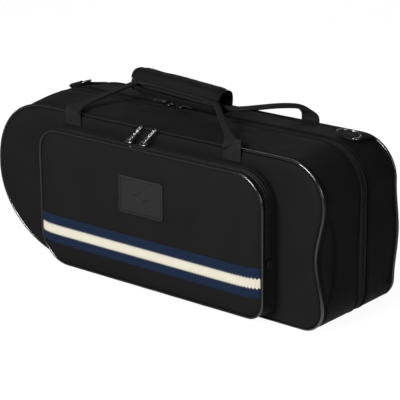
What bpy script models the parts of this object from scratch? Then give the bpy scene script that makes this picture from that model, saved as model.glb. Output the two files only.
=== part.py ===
"""A soft trumpet case that stands on its long bottom edge: two zipped halves, a front pocket, a carrying handle.

Units are metres. The case frame has X along the length from the bell end, Y from the front seam to the rear
seam and Z up from the bottom of the outline. The empty case_origin carries that frame to the part's own frame,
whose origin is the middle of the standing base on the floor.
"""

from math import atan2, copysign, cos, degrees, pi, radians, sin, sqrt, tan

import bmesh
import bpy
from mathutils import Matrix, Vector

# Outline of the case, seen from the front
CASE_LENGTH = 0.5550
CASE_HEIGHT = 0.2135
BELL_END_DROP = 0.0965
BELL_END_HEIGHT = CASE_HEIGHT - BELL_END_DROP
BELL_END_UPPER_REACH = 0.0950
BELL_END_LOWER_REACH = 0.1450
BELL_END_FULLNESS = 2.25
TOP_CORNER_RADIUS = 0.0520
BOTTOM_CORNER_RADIUS = 0.0280
FRONT_WAIST = 0.0110
REAR_BELLY = 0.0050
UPPER_SWEEP_STEPS = 8
LOWER_SWEEP_STEPS = 9
TOP_CORNER_STEPS = 6
BOTTOM_CORNER_STEPS = 4
WAIST_STEPS = 6

# Depths of the two halves
FRONT_DEPTH = 0.0820
REAR_DEPTH = 0.0720

# Seams and walls
PIPING_RADIUS = 0.0020
SEAM_GAP = 0.0003
GUSSET_THICKNESS = 0.0060
GUSSET_CROWN = 0.0075
GUSSET_STATION_SHARES = (0.15, 0.38, 0.68)
RIGHT_END_CROWN_SHARE = 0.45
RIGHT_END_ROUND_LENGTH = 0.0600
BASE_ROUND_HEIGHT = 0.0400
PANEL_EDGE_THICKNESS = 0.0020
PANEL_CROWN = 0.0030
PANEL_CROWN_REACH = 0.0040
PANEL_SHOULDER_SHARE = 0.80
BOARD_THICKNESS = 0.0030

# Main zipper and the fabric hinge
ZIP_HALF_WIDTH = 0.0080
TAPE_THICKNESS = 0.0010
TAPE_RECESS = 0.0006
COIL_HALF_WIDTH = 0.0030
COIL_RISE = 0.0010
ZIP_SPLIT_GAP = 0.0004
ZIP_END_STEPS = 2

# Front pocket
POCKET_LEFT = 0.1087
POCKET_END_MARGIN = 0.0697
POCKET_RIGHT = CASE_LENGTH - POCKET_END_MARGIN
POCKET_BOTTOM = 0.0090
POCKET_TOP_MARGIN = 0.0200
POCKET_TOP = CASE_HEIGHT - POCKET_TOP_MARGIN
POCKET_DEPTH = 0.0300
POCKET_TAPER = 0.0030
POCKET_TOP_LEFT_RADIUS = 0.0300
POCKET_TOP_RIGHT_RADIUS = 0.0420
POCKET_BOTTOM_LEFT_RADIUS = 0.0450
POCKET_BOTTOM_RIGHT_RADIUS = 0.0220
POCKET_CORNER_STEPS = 6
POCKET_LEAST_RADIUS = 0.0040
POCKET_WALL = 0.0016
POCKET_FOLD_HEIGHT = 0.0880
POCKET_PIPING_RADIUS = 0.0018
POCKET_REAR_BAND = 0.0080
POCKET_ZIP_HALF_WIDTH = 0.0055
POCKET_PANEL_THICKNESS = 0.0012
POCKET_DOME_INSETS = (0.0080, 0.0180, 0.0300)
POCKET_DOME_RISES = (0.0030, 0.0055, 0.0070)

# Trim on the pocket
STRIPE_BOTTOM = 0.0385
STRIPE_WIDTH = 0.0395
STRIPE_THICKNESS = 0.0008
PATCH_LENGTH = 0.0750
PATCH_HEIGHT = 0.0500
PATCH_OFFSET = 0.0020
PATCH_TOP_MARGIN = 0.0350
PATCH_LEFT = (POCKET_LEFT + POCKET_RIGHT - PATCH_LENGTH) / 2 - PATCH_OFFSET
PATCH_BOTTOM = POCKET_TOP - PATCH_TOP_MARGIN - PATCH_HEIGHT
PATCH_THICKNESS = 0.0014
PATCH_CORNER_RADIUS = 0.0050
ZIP_TAB_HEIGHT = 0.0120
ZIP_TAB_THICKNESS = 0.0012

# Inside of the rear half
INSERT_SETBACK = 0.0045
CRADLE_END = 0.2000
BELL_AXIS_DROP = 0.0020
BELL_AXIS_HEIGHT = BELL_END_HEIGHT - BELL_AXIS_DROP
BELL_RIM_RADIUS = 0.0615
BELL_RIM_PLACE = 0.0300
BELL_RIM_ROOM = 0.0060
BELL_CLEARANCE = 0.0020
BELL_FLARE_LENGTH = 0.0228
BELL_FLARE_POWER = 0.70
BELL_PROFILE_STEPS = 7
BELL_TURN_STEPS = 24
TROUGH_LEFT_RUN = 0.0020
TROUGH_END_MARGIN = 0.0500
TROUGH_END = CASE_LENGTH - TROUGH_END_MARGIN
TROUGH_BOTTOM = 0.0300
TROUGH_TOP_MARGIN = 0.0785
TROUGH_TOP = CASE_HEIGHT - TROUGH_TOP_MARGIN
TROUGH_DEPTH = 0.0310
TROUGH_CORNER = 0.0150
VALVE_POCKET_LEFT = 0.2780
VALVE_POCKET_LENGTH = 0.0760
VALVE_POCKET_BOTTOM = 0.0160
VALVE_POCKET_TOP_MARGIN = 0.0135
VALVE_POCKET_TOP = CASE_HEIGHT - VALVE_POCKET_TOP_MARGIN
VALVE_POCKET_DEPTH = 0.0350
BIN_LEFT = 0.3720
BIN_END_MARGIN = 0.0270
BIN_TOP_MARGIN = 0.0175
BIN_HEIGHT = 0.0460
BIN_RIGHT = CASE_LENGTH - BIN_END_MARGIN
BIN_TOP = CASE_HEIGHT - BIN_TOP_MARGIN
BIN_BOTTOM = BIN_TOP - BIN_HEIGHT
BIN_DEPTH = 0.0540
BIN_CORNER = 0.0080
MOUTHPIECE_HOLE_RADIUS = 0.0135
MOUTHPIECE_HOLE_DEPTH = 0.0560
MOUTHPIECE_HOLE_DROP = 0.0415
MOUTHPIECE_HOLE_HEIGHT = CASE_HEIGHT - MOUTHPIECE_HOLE_DROP
MOUTHPIECE_FIRST_HOLE = 0.2190
MOUTHPIECE_SPACING = 0.0330
MOUTHPIECE_HOLE_SIDES = 16
ACCESSORY_LID_THICKNESS = 0.0025
ACCESSORY_LID_MARGIN = 0.0050
ACCESSORY_LID_CORNER = 0.0060
HOLDING_STRAP_LEFT = 0.2120
HOLDING_STRAP_WIDTH = 0.0300
HOLDING_STRAP_THICKNESS = 0.0016
HOLDING_STRAP_OVERLAP = 0.0100

# Padding of the lid
LID_PAD_THICKNESS = 0.0110
LID_PAD_ROUNDING = 0.0040

# Carrying handle
WEB_WIDTH = 0.0300
WEB_THICKNESS = 0.0016
FOLDED_WIDTH = 0.0120
FOLDED_THICKNESS = 0.0034
FOLD_STEPS = 2
STRAP_LEFT_SPREAD = 0.0450
STRAP_RIGHT_SPREAD = 0.0750
STRAP_SEAT_HEIGHT = 0.0150
STRAP_STEPS = 6
FRONT_STRAP_RISE = 0.0060
REAR_STRAP_RISE = 0.0330
FRONT_LEG_PULL_SHARE = 0.25
GRIP_LENGTH = 0.1510
GRIP_MIDDLE_MARGIN = 0.2875
GRIP_CLEARANCE = 0.0035
GRIP_DEPTH_PLACE = 0.0765
GRIP_HALF_DEPTH = 0.0165
GRIP_HALF_HEIGHT = 0.0170
GRIP_THICKNESS = 0.0048
GRIP_FRONT_LIP_ANGLE = 201.0
GRIP_FLAP_FRONT_ANGLE = 170.0
GRIP_FLAP_REAR_ANGLE = 18.0
GRIP_ARC_STEPS = 10
GRIP_PITCH = 3.4
REAR_STRAP_DROP = 0.0075
FRONT_STRAP_SHIFT = 0.0030

# Shoulder rings
RING_WIRE_RADIUS = 0.0018
RING_HALF_WIDTH = 0.0155
RING_CORNER = 0.0026
RING_REACH = 0.0220
RING_SEAT_DEPTH = 0.0520
RING_ARC_STEPS = 10
RIGHT_RING_MARGIN = 0.0430
LEFT_RING_PLACE = 0.0560
TAB_WIDTH = 0.0230
TAB_THICKNESS = 0.0026
TAB_EYE_WALL = 0.0012
TAB_EYE_STEPS = 10

# Zip sliders and pulls
SLIDER_LENGTH = 0.0120
SLIDER_WIDTH = 0.0090
SLIDER_THICKNESS = 0.0022
SLIDER_EDGE = 0.0006
BRIDGE_LENGTH = 0.0080
BRIDGE_WIDTH = 0.0018
BRIDGE_HEIGHT = 0.0036
BRIDGE_BAR = 0.0010
BRIDGE_CHAMFER = 0.0007
PULL_LENGTH = 0.0250
PULL_WIDTH = 0.0062
PULL_THICKNESS = 0.0014
PULL_BAR = 0.0013
PULL_EYE_LENGTH = 0.0054
PULL_EYE_WIDTH = 0.0034
PULL_CORNER_STEPS = 4
MAIN_SLIDER_SPACING = 0.0200
MAIN_SLIDER_SHIFT = 0.0075
POCKET_SLIDER_SPACING = 0.0240
POCKET_SLIDER_SHIFT = 0.0155
POCKET_PULL_HEADING = 52.0
POCKET_PULL_LEAN = 46.0

# One overrun serves every cut, and one probe finds the outline's outward direction
CUT_OVERRUN = 0.0020
NORMAL_PROBE = 0.0010

# The handle, the rings and the sliders keep their places to the case and to each other
CASE_DEPTH = FRONT_DEPTH + REAR_DEPTH
RIGHT_RING_PLACE = CASE_LENGTH - RIGHT_RING_MARGIN
GRIP_MIDDLE = CASE_LENGTH - GRIP_MIDDLE_MARGIN
GRIP_LEFT = GRIP_MIDDLE - GRIP_LENGTH / 2
GRIP_RIGHT = GRIP_MIDDLE + GRIP_LENGTH / 2
STRAP_LEFT = GRIP_LEFT - STRAP_LEFT_SPREAD
STRAP_RIGHT = GRIP_RIGHT + STRAP_RIGHT_SPREAD
MAIN_SLIDER_RIGHT = GRIP_MIDDLE - MAIN_SLIDER_SHIFT
MAIN_SLIDER_LEFT = MAIN_SLIDER_RIGHT - MAIN_SLIDER_SPACING
POCKET_SLIDER_RIGHT = GRIP_MIDDLE + POCKET_SLIDER_SHIFT
POCKET_SLIDER_LEFT = POCKET_SLIDER_RIGHT - POCKET_SLIDER_SPACING
MAIN_SLIDER_SEAT = CASE_HEIGHT + GUSSET_CROWN - TAPE_RECESS + COIL_RISE + SEAM_GAP
MAIN_SLIDER_TOP = MAIN_SLIDER_SEAT + SLIDER_THICKNESS + BRIDGE_HEIGHT
GRIP_HEIGHT_PLACE = MAIN_SLIDER_TOP + GRIP_CLEARANCE + GRIP_HALF_HEIGHT
PLATEAU = PANEL_EDGE_THICKNESS / 2 + PANEL_CROWN
POCKET_FACE = POCKET_DEPTH + POCKET_DOME_RISES[-1]
POCKET_ZIP_PLACE = PLATEAU + SEAM_GAP + POCKET_REAR_BAND + POCKET_ZIP_HALF_WIDTH

FINISHES = {
    "black_nylon": ((0.022, 0.022, 0.024), 0.85, 0.0),
    "black_piping": ((0.012, 0.012, 0.013), 0.30, 0.0),
    "black_webbing": ((0.016, 0.016, 0.017), 0.80, 0.0),
    "zip_tape": ((0.014, 0.014, 0.015), 0.75, 0.0),
    "gunmetal": ((0.110, 0.110, 0.115), 0.35, 1.0),
    "bright_metal": ((0.550, 0.550, 0.560), 0.28, 1.0),
    "embossed_leather": ((0.045, 0.045, 0.046), 0.55, 0.0),
    "stripe_webbing": ((0.014, 0.030, 0.075), 0.80, 0.0),
    "plush_lining": ((0.030, 0.030, 0.034), 0.95, 0.0),
    "board": ((0.180, 0.150, 0.110), 0.90, 0.0),
}


def clear_scene():
    for obj in list(bpy.data.objects):
        bpy.data.objects.remove(obj, do_unlink=True)


def make_collection(name):
    collection = bpy.data.collections.new(name)
    bpy.context.scene.collection.children.link(collection)
    return collection


def make_material(name):
    colour, roughness, metallic = FINISHES[name]
    material = bpy.data.materials.new(name)
    material.use_nodes = True
    shader = material.node_tree.nodes["Principled BSDF"]
    shader.inputs["Base Color"].default_value = (*colour, 1.0)
    shader.inputs["Roughness"].default_value = roughness
    shader.inputs["Metallic"].default_value = metallic
    material.diffuse_color = (*colour, 1.0)
    return material


clear_scene()
PARTS = make_collection("trumpet_case")
CUTTERS = make_collection("trumpet_case_cutters")
ORIGIN = bpy.data.objects.new("case_origin", None)
PARTS.objects.link(ORIGIN)


def make_pivot(name, place):
    """An empty on a joint's axis, which carries the pieces that turn or slide there."""
    pivot = bpy.data.objects.new(name, None)
    pivot.location = place
    pivot.parent = ORIGIN
    PARTS.objects.link(pivot)
    return pivot


def add_piece(name, bm, finish, pivot=None):
    """Turns a bmesh in the case frame into a named piece, carried by its pivot or by the case itself."""
    bmesh.ops.recalc_face_normals(bm, faces=bm.faces)
    if pivot is not None:
        bmesh.ops.translate(bm, verts=bm.verts, vec=-pivot.location)
    mesh = bpy.data.meshes.new(name)
    bm.to_mesh(mesh)
    bm.free()
    mesh.shade_smooth()
    mesh.set_sharp_from_angle(angle=radians(35))
    return add_object(name, mesh, finish, pivot)


def add_object(name, data, finish, pivot=None):
    data.materials.append(bpy.data.materials.get(finish) or make_material(finish))
    obj = bpy.data.objects.new(name, data)
    obj.parent = pivot or ORIGIN
    PARTS.objects.link(obj)
    return obj


def add_cutter(name, bm):
    bmesh.ops.recalc_face_normals(bm, faces=bm.faces)
    mesh = bpy.data.meshes.new(name)
    bm.to_mesh(mesh)
    bm.free()
    cutter = bpy.data.objects.new(name, mesh)
    cutter.parent = ORIGIN
    cutter.hide_render = True
    cutter.display_type = "WIRE"
    CUTTERS.objects.link(cutter)
    return cutter


def cut(piece, cutter):
    modifier = piece.modifiers.new(cutter.name, "BOOLEAN")
    modifier.operation = "DIFFERENCE"
    modifier.solver = "EXACT"
    modifier.object = cutter


def arc(centre, radii, start, end, steps, fullness=2.0):
    """Points of an elliptic arc in the X-Z plane, both ends included; angles in degrees from +X.

    A fullness over 2 swells the arc towards the corner of its box.
    """
    points = []
    for step in range(steps + 1):
        angle = radians(start + (end - start) * step / steps)
        across = copysign(abs(cos(angle)) ** (2 / fullness), cos(angle))
        up = copysign(abs(sin(angle)) ** (2 / fullness), sin(angle))
        points.append((centre[0] + radii[0] * across, centre[1] + radii[1] * up))
    return points


def case_outline(inset=0.0, waist=0.0):
    """The outline of the case from the start of its flat bottom round by the right end and the bell end.

    A waist draws the right end in at half height, and a negative one lets it belly out.
    """
    points = [(BELL_END_LOWER_REACH, inset)]
    points += arc(
        (CASE_LENGTH - BOTTOM_CORNER_RADIUS, BOTTOM_CORNER_RADIUS),
        (BOTTOM_CORNER_RADIUS - inset, BOTTOM_CORNER_RADIUS - inset),
        -90,
        0,
        BOTTOM_CORNER_STEPS,
    )
    straight = CASE_HEIGHT - TOP_CORNER_RADIUS - BOTTOM_CORNER_RADIUS
    for step in range(1, WAIST_STEPS):
        share = step / WAIST_STEPS
        draw_in = waist * sin(pi * share) ** 2
        points.append((CASE_LENGTH - inset - draw_in, BOTTOM_CORNER_RADIUS + straight * share))
    points += arc(
        (CASE_LENGTH - TOP_CORNER_RADIUS, CASE_HEIGHT - TOP_CORNER_RADIUS),
        (TOP_CORNER_RADIUS - inset, TOP_CORNER_RADIUS - inset),
        0,
        90,
        TOP_CORNER_STEPS,
    )
    upper = CASE_HEIGHT - BELL_END_HEIGHT
    points += arc(
        (BELL_END_UPPER_REACH, BELL_END_HEIGHT),
        (BELL_END_UPPER_REACH - inset, upper - inset),
        90,
        180,
        UPPER_SWEEP_STEPS,
        BELL_END_FULLNESS,
    )
    lower = arc(
        (BELL_END_LOWER_REACH, BELL_END_HEIGHT),
        (BELL_END_LOWER_REACH - inset, BELL_END_HEIGHT - inset),
        180,
        270,
        LOWER_SWEEP_STEPS,
    )
    return points + lower[1:-1]


def waist_at(depth):
    """How far the right end is drawn in at a depth: a waist at the front seam, a belly at the rear one."""
    if depth < FRONT_DEPTH:
        return FRONT_WAIST * (1 - depth / FRONT_DEPTH)
    return -REAR_BELLY * (depth - FRONT_DEPTH) / REAR_DEPTH


def pocket_outline(inset=0.0, waist=0.0):
    """The outline of the front pocket, from the bottom left corner round anticlockwise."""
    corners = (
        (POCKET_RIGHT, POCKET_BOTTOM, -1, 1, POCKET_BOTTOM_RIGHT_RADIUS, -90),
        (POCKET_RIGHT, POCKET_TOP, -1, -1, POCKET_TOP_RIGHT_RADIUS, 0),
        (POCKET_LEFT, POCKET_TOP, 1, -1, POCKET_TOP_LEFT_RADIUS, 90),
        (POCKET_LEFT, POCKET_BOTTOM, 1, 1, POCKET_BOTTOM_LEFT_RADIUS, 180),
    )
    points = []
    for x, z, side, lift, radius, start in corners:
        kept = max(radius - inset, POCKET_LEAST_RADIUS)
        centre = (x + side * (inset + kept), z + lift * (inset + kept))
        points += arc(centre, (kept, kept), start, start + 90, POCKET_CORNER_STEPS)
    return points


def outward(outline, waist):
    """The points of an outline, each with its outward direction."""
    base = outline(0.0, waist)
    outer = outline(-NORMAL_PROBE, waist)
    found = []
    for inner, proud in zip(base, outer):
        found.append((inner, ((proud[0] - inner[0]) / NORMAL_PROBE, (proud[1] - inner[1]) / NORMAL_PROBE)))
    return found


def sweep(outline, profile, first=0, last=None, waist=lambda depth: 0.0):
    """A solid with one cross-section carried along an outline, closed round it or between two of its points.

    The profile lists (depth, outward distance) round the section, and a third number is the share of the
    case's crown that is added to the distance.
    """
    bm = bmesh.new()
    loops = []
    for depth, distance, *crown_share in profile:
        loop = []
        for (x, z), (out_x, out_z) in outward(outline, waist(depth)):
            proud = distance + (crown_lift(crown_share[0], x, z) if crown_share else 0.0)
            loop.append(Vector((x + out_x * proud, depth, z + out_z * proud)))
        loops.append(loop)
    count = len(loops[0])
    closed = last is None
    picks = [index % count for index in range(first, first + count if closed else last + 1)]
    rows = [[bm.verts.new(loop[pick]) for loop in loops] for pick in picks]
    pairs = list(zip(rows, rows[1:]))
    if closed:
        pairs.append((rows[-1], rows[0]))
    for row, following in pairs:
        for side in range(len(row)):
            beside = (side + 1) % len(row)
            bm.faces.new((row[side], row[beside], following[beside], following[side]))
    if not closed:
        bm.faces.new(rows[0])
        bm.faces.new(rows[-1])
    return bm


def plate(outline, levels, waist=lambda depth: 0.0):
    """A solid stacked from one outline at (depth, inset) levels, closed by its first and last outline."""
    bm = bmesh.new()
    rows = []
    for depth, inset in levels:
        rows.append([bm.verts.new((x, depth, z)) for x, z in outline(inset, waist(depth))])
    for row, following in zip(rows, rows[1:]):
        for side in range(len(row)):
            beside = (side + 1) % len(row)
            bm.faces.new((row[side], row[beside], following[beside], following[side]))
    bm.faces.new(rows[0])
    bm.faces.new(rows[-1])
    return bm


def trim(bm, place, direction):
    """Cuts away what lies beyond a plane and closes the cut."""
    geometry = bm.verts[:] + bm.edges[:] + bm.faces[:]
    result = bmesh.ops.bisect_plane(
        bm, geom=geometry, plane_co=place, plane_no=direction, clear_outer=True, dist=SEAM_GAP / 100
    )
    edges = [item for item in result["geom_cut"] if isinstance(item, bmesh.types.BMEdge)]
    bmesh.ops.holes_fill(bm, edges=edges, sides=0)


def box(low, high):
    """A box between two corners."""
    size = Vector(high) - Vector(low)
    middle = (Vector(high) + Vector(low)) / 2
    bm = bmesh.new()
    bmesh.ops.create_cube(bm, size=1.0, matrix=Matrix.Translation(middle) @ Matrix.Diagonal((*size, 1.0)))
    return bm


def round_box(low, high, radius, axis, steps=3):
    """A box whose edges along one axis are rounded."""
    bm = box(low, high)
    along = Vector([float(index == axis) for index in range(3)])
    edges = [e for e in bm.edges if abs((e.verts[1].co - e.verts[0].co).normalized().dot(along)) > 0.99]
    bmesh.ops.bevel(bm, geom=edges, offset=radius, segments=steps, affect="EDGES", profile=0.5, material=-1)
    return bm


def make_piping(name, outline, depth, radius, waist=0.0):
    """A closed tube of piping along an outline."""
    curve = bpy.data.curves.new(name, "CURVE")
    curve.dimensions = "3D"
    curve.bevel_depth = radius
    curve.bevel_resolution = 2
    points = outline(0.0, waist)
    spline = curve.splines.new("POLY")
    spline.points.add(len(points) - 1)
    for point, (x, z) in zip(spline.points, points):
        point.co = (x, depth, z, 1.0)
    spline.use_cyclic_u = True
    return curve


def curve_mesh(name, curve):
    """The closed mesh of a curve, for a piece that is cut or joined."""
    holder = bpy.data.objects.new(name + "_guide", curve)
    bpy.context.scene.collection.objects.link(holder)
    evaluated = holder.evaluated_get(bpy.context.evaluated_depsgraph_get())
    bm = bmesh.new()
    bm.from_mesh(bpy.data.meshes.new_from_object(evaluated))
    bpy.data.objects.remove(holder, do_unlink=True)
    bpy.data.curves.remove(curve)
    bmesh.ops.remove_doubles(bm, verts=bm.verts, dist=0.00001)
    return bm


def smooth(share):
    """An even ease from 0 to 1."""
    share = min(1.0, max(0.0, share))
    return share * share * (3 - 2 * share)


def crown_lift(share, x, z):
    """How far the side wall stands out at a share of its crown.

    The wall is level with the piping where the case stands, and flatter round the right end.
    """
    standing = 1 - smooth(z / BASE_ROUND_HEIGHT)
    right_end = smooth((x - CASE_LENGTH + RIGHT_END_ROUND_LENGTH) / RIGHT_END_ROUND_LENGTH)
    crown = GUSSET_CROWN * (1 - right_end * (1 - RIGHT_END_CROWN_SHARE))
    return PIPING_RADIUS * standing + share * crown * (1 - standing)


def crown_share(run_share):
    """Share of the crown that the side wall reaches at a share of the way from its seam to its zip edge."""
    return 1 - (1 - run_share) ** 2


def gusset_profile(seam, inner_edge):
    """Section of a padded side wall that rises in one arch from its piping seam to its zip edge."""
    toward = 1 if inner_edge > seam else -1
    start = seam + toward * (PIPING_RADIUS + SEAM_GAP)
    outer = []
    for share in (0.0, *GUSSET_STATION_SHARES, 1.0):
        outer.append((start + (inner_edge - start) * share, 0.0, crown_share(share)))
    inner = [(inner_edge, -GUSSET_THICKNESS, 1.0), (start, -GUSSET_THICKNESS, 0.0)]
    return outer + inner


def make_shell_half(name, seam, inner_edge):
    """Panel, gusset, piping and board of one half, from its outer seam to its zip edge."""
    toward = 1 if inner_edge > seam else -1
    half_edge = PANEL_EDGE_THICKNESS / 2
    edge_inset = PIPING_RADIUS + SEAM_GAP
    panel_levels = [
        (seam + toward * half_edge, edge_inset),
        (seam - toward * half_edge, edge_inset),
        (seam - toward * (half_edge + PANEL_CROWN * PANEL_SHOULDER_SHARE), edge_inset + PANEL_CROWN_REACH / 3),
        (seam - toward * PLATEAU, edge_inset + PANEL_CROWN_REACH),
    ]
    add_piece(name + "_panel", plate(case_outline, panel_levels, lambda depth: waist_at(seam)), "black_nylon")
    profile = gusset_profile(seam, inner_edge)
    gusset = sweep(case_outline, profile, waist=waist_at)
    add_piece(name + "_gusset", gusset, "black_nylon")
    piping = make_piping(name + "_piping", case_outline, seam, PIPING_RADIUS, waist_at(seam))
    add_object(name + "_piping", piping, "black_piping")
    board_start = seam + toward * (half_edge + SEAM_GAP)
    board_inset = GUSSET_THICKNESS + SEAM_GAP
    board_levels = [(board_start, board_inset), (board_start + toward * BOARD_THICKNESS, board_inset)]
    add_piece(name + "_board", plate(case_outline, board_levels, lambda depth: waist_at(seam)), "board")


def zip_path():
    """First and last outline points of the main zipper, from low on the right end to low on the bell end."""
    count = len(case_outline())
    return BOTTOM_CORNER_STEPS + 1, count - 1 - ZIP_END_STEPS


def half_zip_profile(split, toward, with_coil):
    """Section of half a zipper: a flat tape with its coil along the split."""
    start = split + toward * ZIP_SPLIT_GAP / 2
    end = split + toward * (ZIP_HALF_WIDTH - SEAM_GAP)
    top = -TAPE_RECESS
    section = [(start, top - TAPE_THICKNESS), (end, top - TAPE_THICKNESS), (end, top)]
    if with_coil:
        coil_edge = split + toward * COIL_HALF_WIDTH
        section += [(coil_edge, top), (coil_edge, top + COIL_RISE), (start, top + COIL_RISE)]
    else:
        section += [(start, top)]
    return [(depth, distance, 1.0) for depth, distance in section]


def make_main_zip():
    first, last = zip_path()
    count = len(case_outline())
    for side, toward in (("front", -1), ("rear", 1)):
        tape = sweep(case_outline, half_zip_profile(FRONT_DEPTH, toward, True), first, last, waist_at)
        add_piece("main_zipper_" + side, tape, "zip_tape")
        web = sweep(case_outline, half_zip_profile(FRONT_DEPTH, toward, False), last, count + first, waist_at)
        heading = outline_direction(last)
        end = Vector((case_outline()[last][0], 0.0, case_outline()[last][1])) + heading * 2 * SEAM_GAP
        trim(web, end, -heading)
        trim(web, (CASE_LENGTH, 0.0, case_outline()[first][1] - SEAM_GAP), (0.0, 0.0, 1.0))
        add_piece("hinge_web_" + side, web, "black_nylon")


def outline_direction(index):
    """The direction in which the outline runs at one of its points."""
    points = case_outline()
    before = Vector((points[index - 1][0], 0.0, points[index - 1][1]))
    after = Vector((points[index][0], 0.0, points[index][1]))
    return (after - before).normalized()


def pocket_flare(depth):
    """Outward distance of the pocket's side wall: its rear edge stands a little wider than its face."""
    back = PLATEAU + SEAM_GAP
    front = POCKET_DEPTH - POCKET_PIPING_RADIUS - SEAM_GAP
    return POCKET_TAPER * (front + depth) / (front - back)


def pocket_band(front, back, wall=POCKET_WALL, sink=0.0):
    """Section of a strip of the pocket's side wall between two distances from the front seam."""
    return [
        (-front, pocket_flare(-front) - sink),
        (-back, pocket_flare(-back) - sink),
        (-back, pocket_flare(-back) - sink - wall),
        (-front, pocket_flare(-front) - sink - wall),
    ]


def split_at_fold(bm, upper):
    """Keeps what lies above or below the pocket's fold, half a seam gap clear of it."""
    sense = 1 if upper else -1
    trim(bm, (0.0, 0.0, POCKET_FOLD_HEIGHT + sense * SEAM_GAP / 2), (0.0, 0.0, -sense))
    return bm


def pocket_panel():
    """The padded face of the pocket, domed towards its middle."""
    edge_inset = POCKET_PIPING_RADIUS + SEAM_GAP
    levels = [(-POCKET_DEPTH + POCKET_PANEL_THICKNESS, edge_inset), (-POCKET_DEPTH, edge_inset)]
    levels += [(-POCKET_DEPTH - rise, inset) for inset, rise in zip(POCKET_DOME_INSETS, POCKET_DOME_RISES)]
    return plate(pocket_outline, levels)


def pocket_upper_strip(profile):
    """A strip of the pocket's side wall round its upper part, with its two ends at the fold."""
    return split_at_fold(sweep(pocket_outline, profile), True)


def make_pocket(flap_pivot):
    zip_front = POCKET_ZIP_PLACE + POCKET_ZIP_HALF_WIDTH
    zip_back = POCKET_ZIP_PLACE - POCKET_ZIP_HALF_WIDTH
    face = POCKET_DEPTH - POCKET_PIPING_RADIUS - SEAM_GAP
    wall = sweep(pocket_outline, pocket_band(face, PLATEAU + SEAM_GAP))
    gusset = add_piece("pocket_gusset", wall, "black_nylon")
    notch_low = (POCKET_LEFT - POCKET_DEPTH, -POCKET_DEPTH - CUT_OVERRUN, POCKET_FOLD_HEIGHT - SEAM_GAP / 2)
    notch_high = (POCKET_RIGHT + POCKET_DEPTH, -zip_back, POCKET_TOP + POCKET_DEPTH)
    cut(gusset, add_cutter("pocket_zip_opening", box(notch_low, notch_high)))

    tape_back = pocket_band(POCKET_ZIP_PLACE - ZIP_SPLIT_GAP / 2, zip_back + SEAM_GAP, TAPE_THICKNESS)
    coil_top = pocket_flare(-POCKET_ZIP_PLACE) + COIL_RISE
    coil_front = -POCKET_ZIP_PLACE + ZIP_SPLIT_GAP / 2
    coil_back = coil_front + COIL_HALF_WIDTH
    coil = [(coil_front, coil_top), (coil_back, coil_top), (coil_back, pocket_flare(coil_back))]
    add_piece("pocket_zipper_back", pocket_upper_strip(coil + tape_back[1:]), "zip_tape")
    tape_front = pocket_band(zip_front - SEAM_GAP, POCKET_ZIP_PLACE + ZIP_SPLIT_GAP / 2, TAPE_THICKNESS)
    add_piece("pocket_zipper_front", pocket_upper_strip(tape_front), "zip_tape", flap_pivot)
    strip = pocket_upper_strip(pocket_band(face, zip_front))
    add_piece("pocket_flap_gusset", strip, "black_nylon", flap_pivot)

    add_piece("pocket_flap_panel", split_at_fold(pocket_panel(), True), "black_nylon", flap_pivot)
    add_piece("pocket_lower_panel", split_at_fold(pocket_panel(), False), "black_nylon")
    for upper, name, pivot in ((True, "pocket_flap_piping", flap_pivot), (False, "pocket_lower_piping", None)):
        tube = curve_mesh(name, make_piping(name, pocket_outline, -POCKET_DEPTH, POCKET_PIPING_RADIUS))
        add_piece(name, split_at_fold(tube, upper), "black_piping", pivot)

    for side_name, x, side in (("left", POCKET_LEFT, -1), ("right", POCKET_RIGHT, 1)):
        inner = x + side * (pocket_flare(-zip_back) + SEAM_GAP)
        outer = inner + side * ZIP_TAB_THICKNESS
        low = (min(inner, outer), -zip_front, POCKET_FOLD_HEIGHT - ZIP_TAB_HEIGHT)
        tab = box(low, (max(inner, outer), -zip_back, POCKET_FOLD_HEIGHT - CUT_OVERRUN))
        add_piece("pocket_zip_tab_" + side_name, tab, "black_webbing")


def make_stripe():
    """The woven stripe across the pocket, a thin shell that follows the dome of its face."""
    insets = (POCKET_PIPING_RADIUS + SEAM_GAP, *POCKET_DOME_INSETS)
    rises = (0.0, *POCKET_DOME_RISES)
    back = [(-POCKET_DEPTH - SEAM_GAP - rise, inset) for inset, rise in zip(insets, rises)]
    front = [(depth - STRIPE_THICKNESS, inset) for depth, inset in back]
    bm = plate(pocket_outline, back[::-1] + front)
    trim(bm, (0.0, 0.0, STRIPE_BOTTOM), (0.0, 0.0, -1.0))
    trim(bm, (0.0, 0.0, STRIPE_BOTTOM + STRIPE_WIDTH), (0.0, 0.0, 1.0))
    add_piece("stripe_band", bm, "stripe_webbing")


def make_patch(flap_pivot):
    back = -POCKET_FACE - SEAM_GAP
    low = (PATCH_LEFT, back - PATCH_THICKNESS, PATCH_BOTTOM)
    high = (PATCH_LEFT + PATCH_LENGTH, back, PATCH_BOTTOM + PATCH_HEIGHT)
    patch = round_box(low, high, PATCH_CORNER_RADIUS, 1)
    add_piece("leather_patch", patch, "embossed_leather", flap_pivot)


def insert_span():
    """Front and back depths of the padding in the rear half."""
    back = CASE_DEPTH - PANEL_EDGE_THICKNESS / 2 - BOARD_THICKNESS - 2 * SEAM_GAP
    return FRONT_DEPTH + INSERT_SETBACK, back


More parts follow.
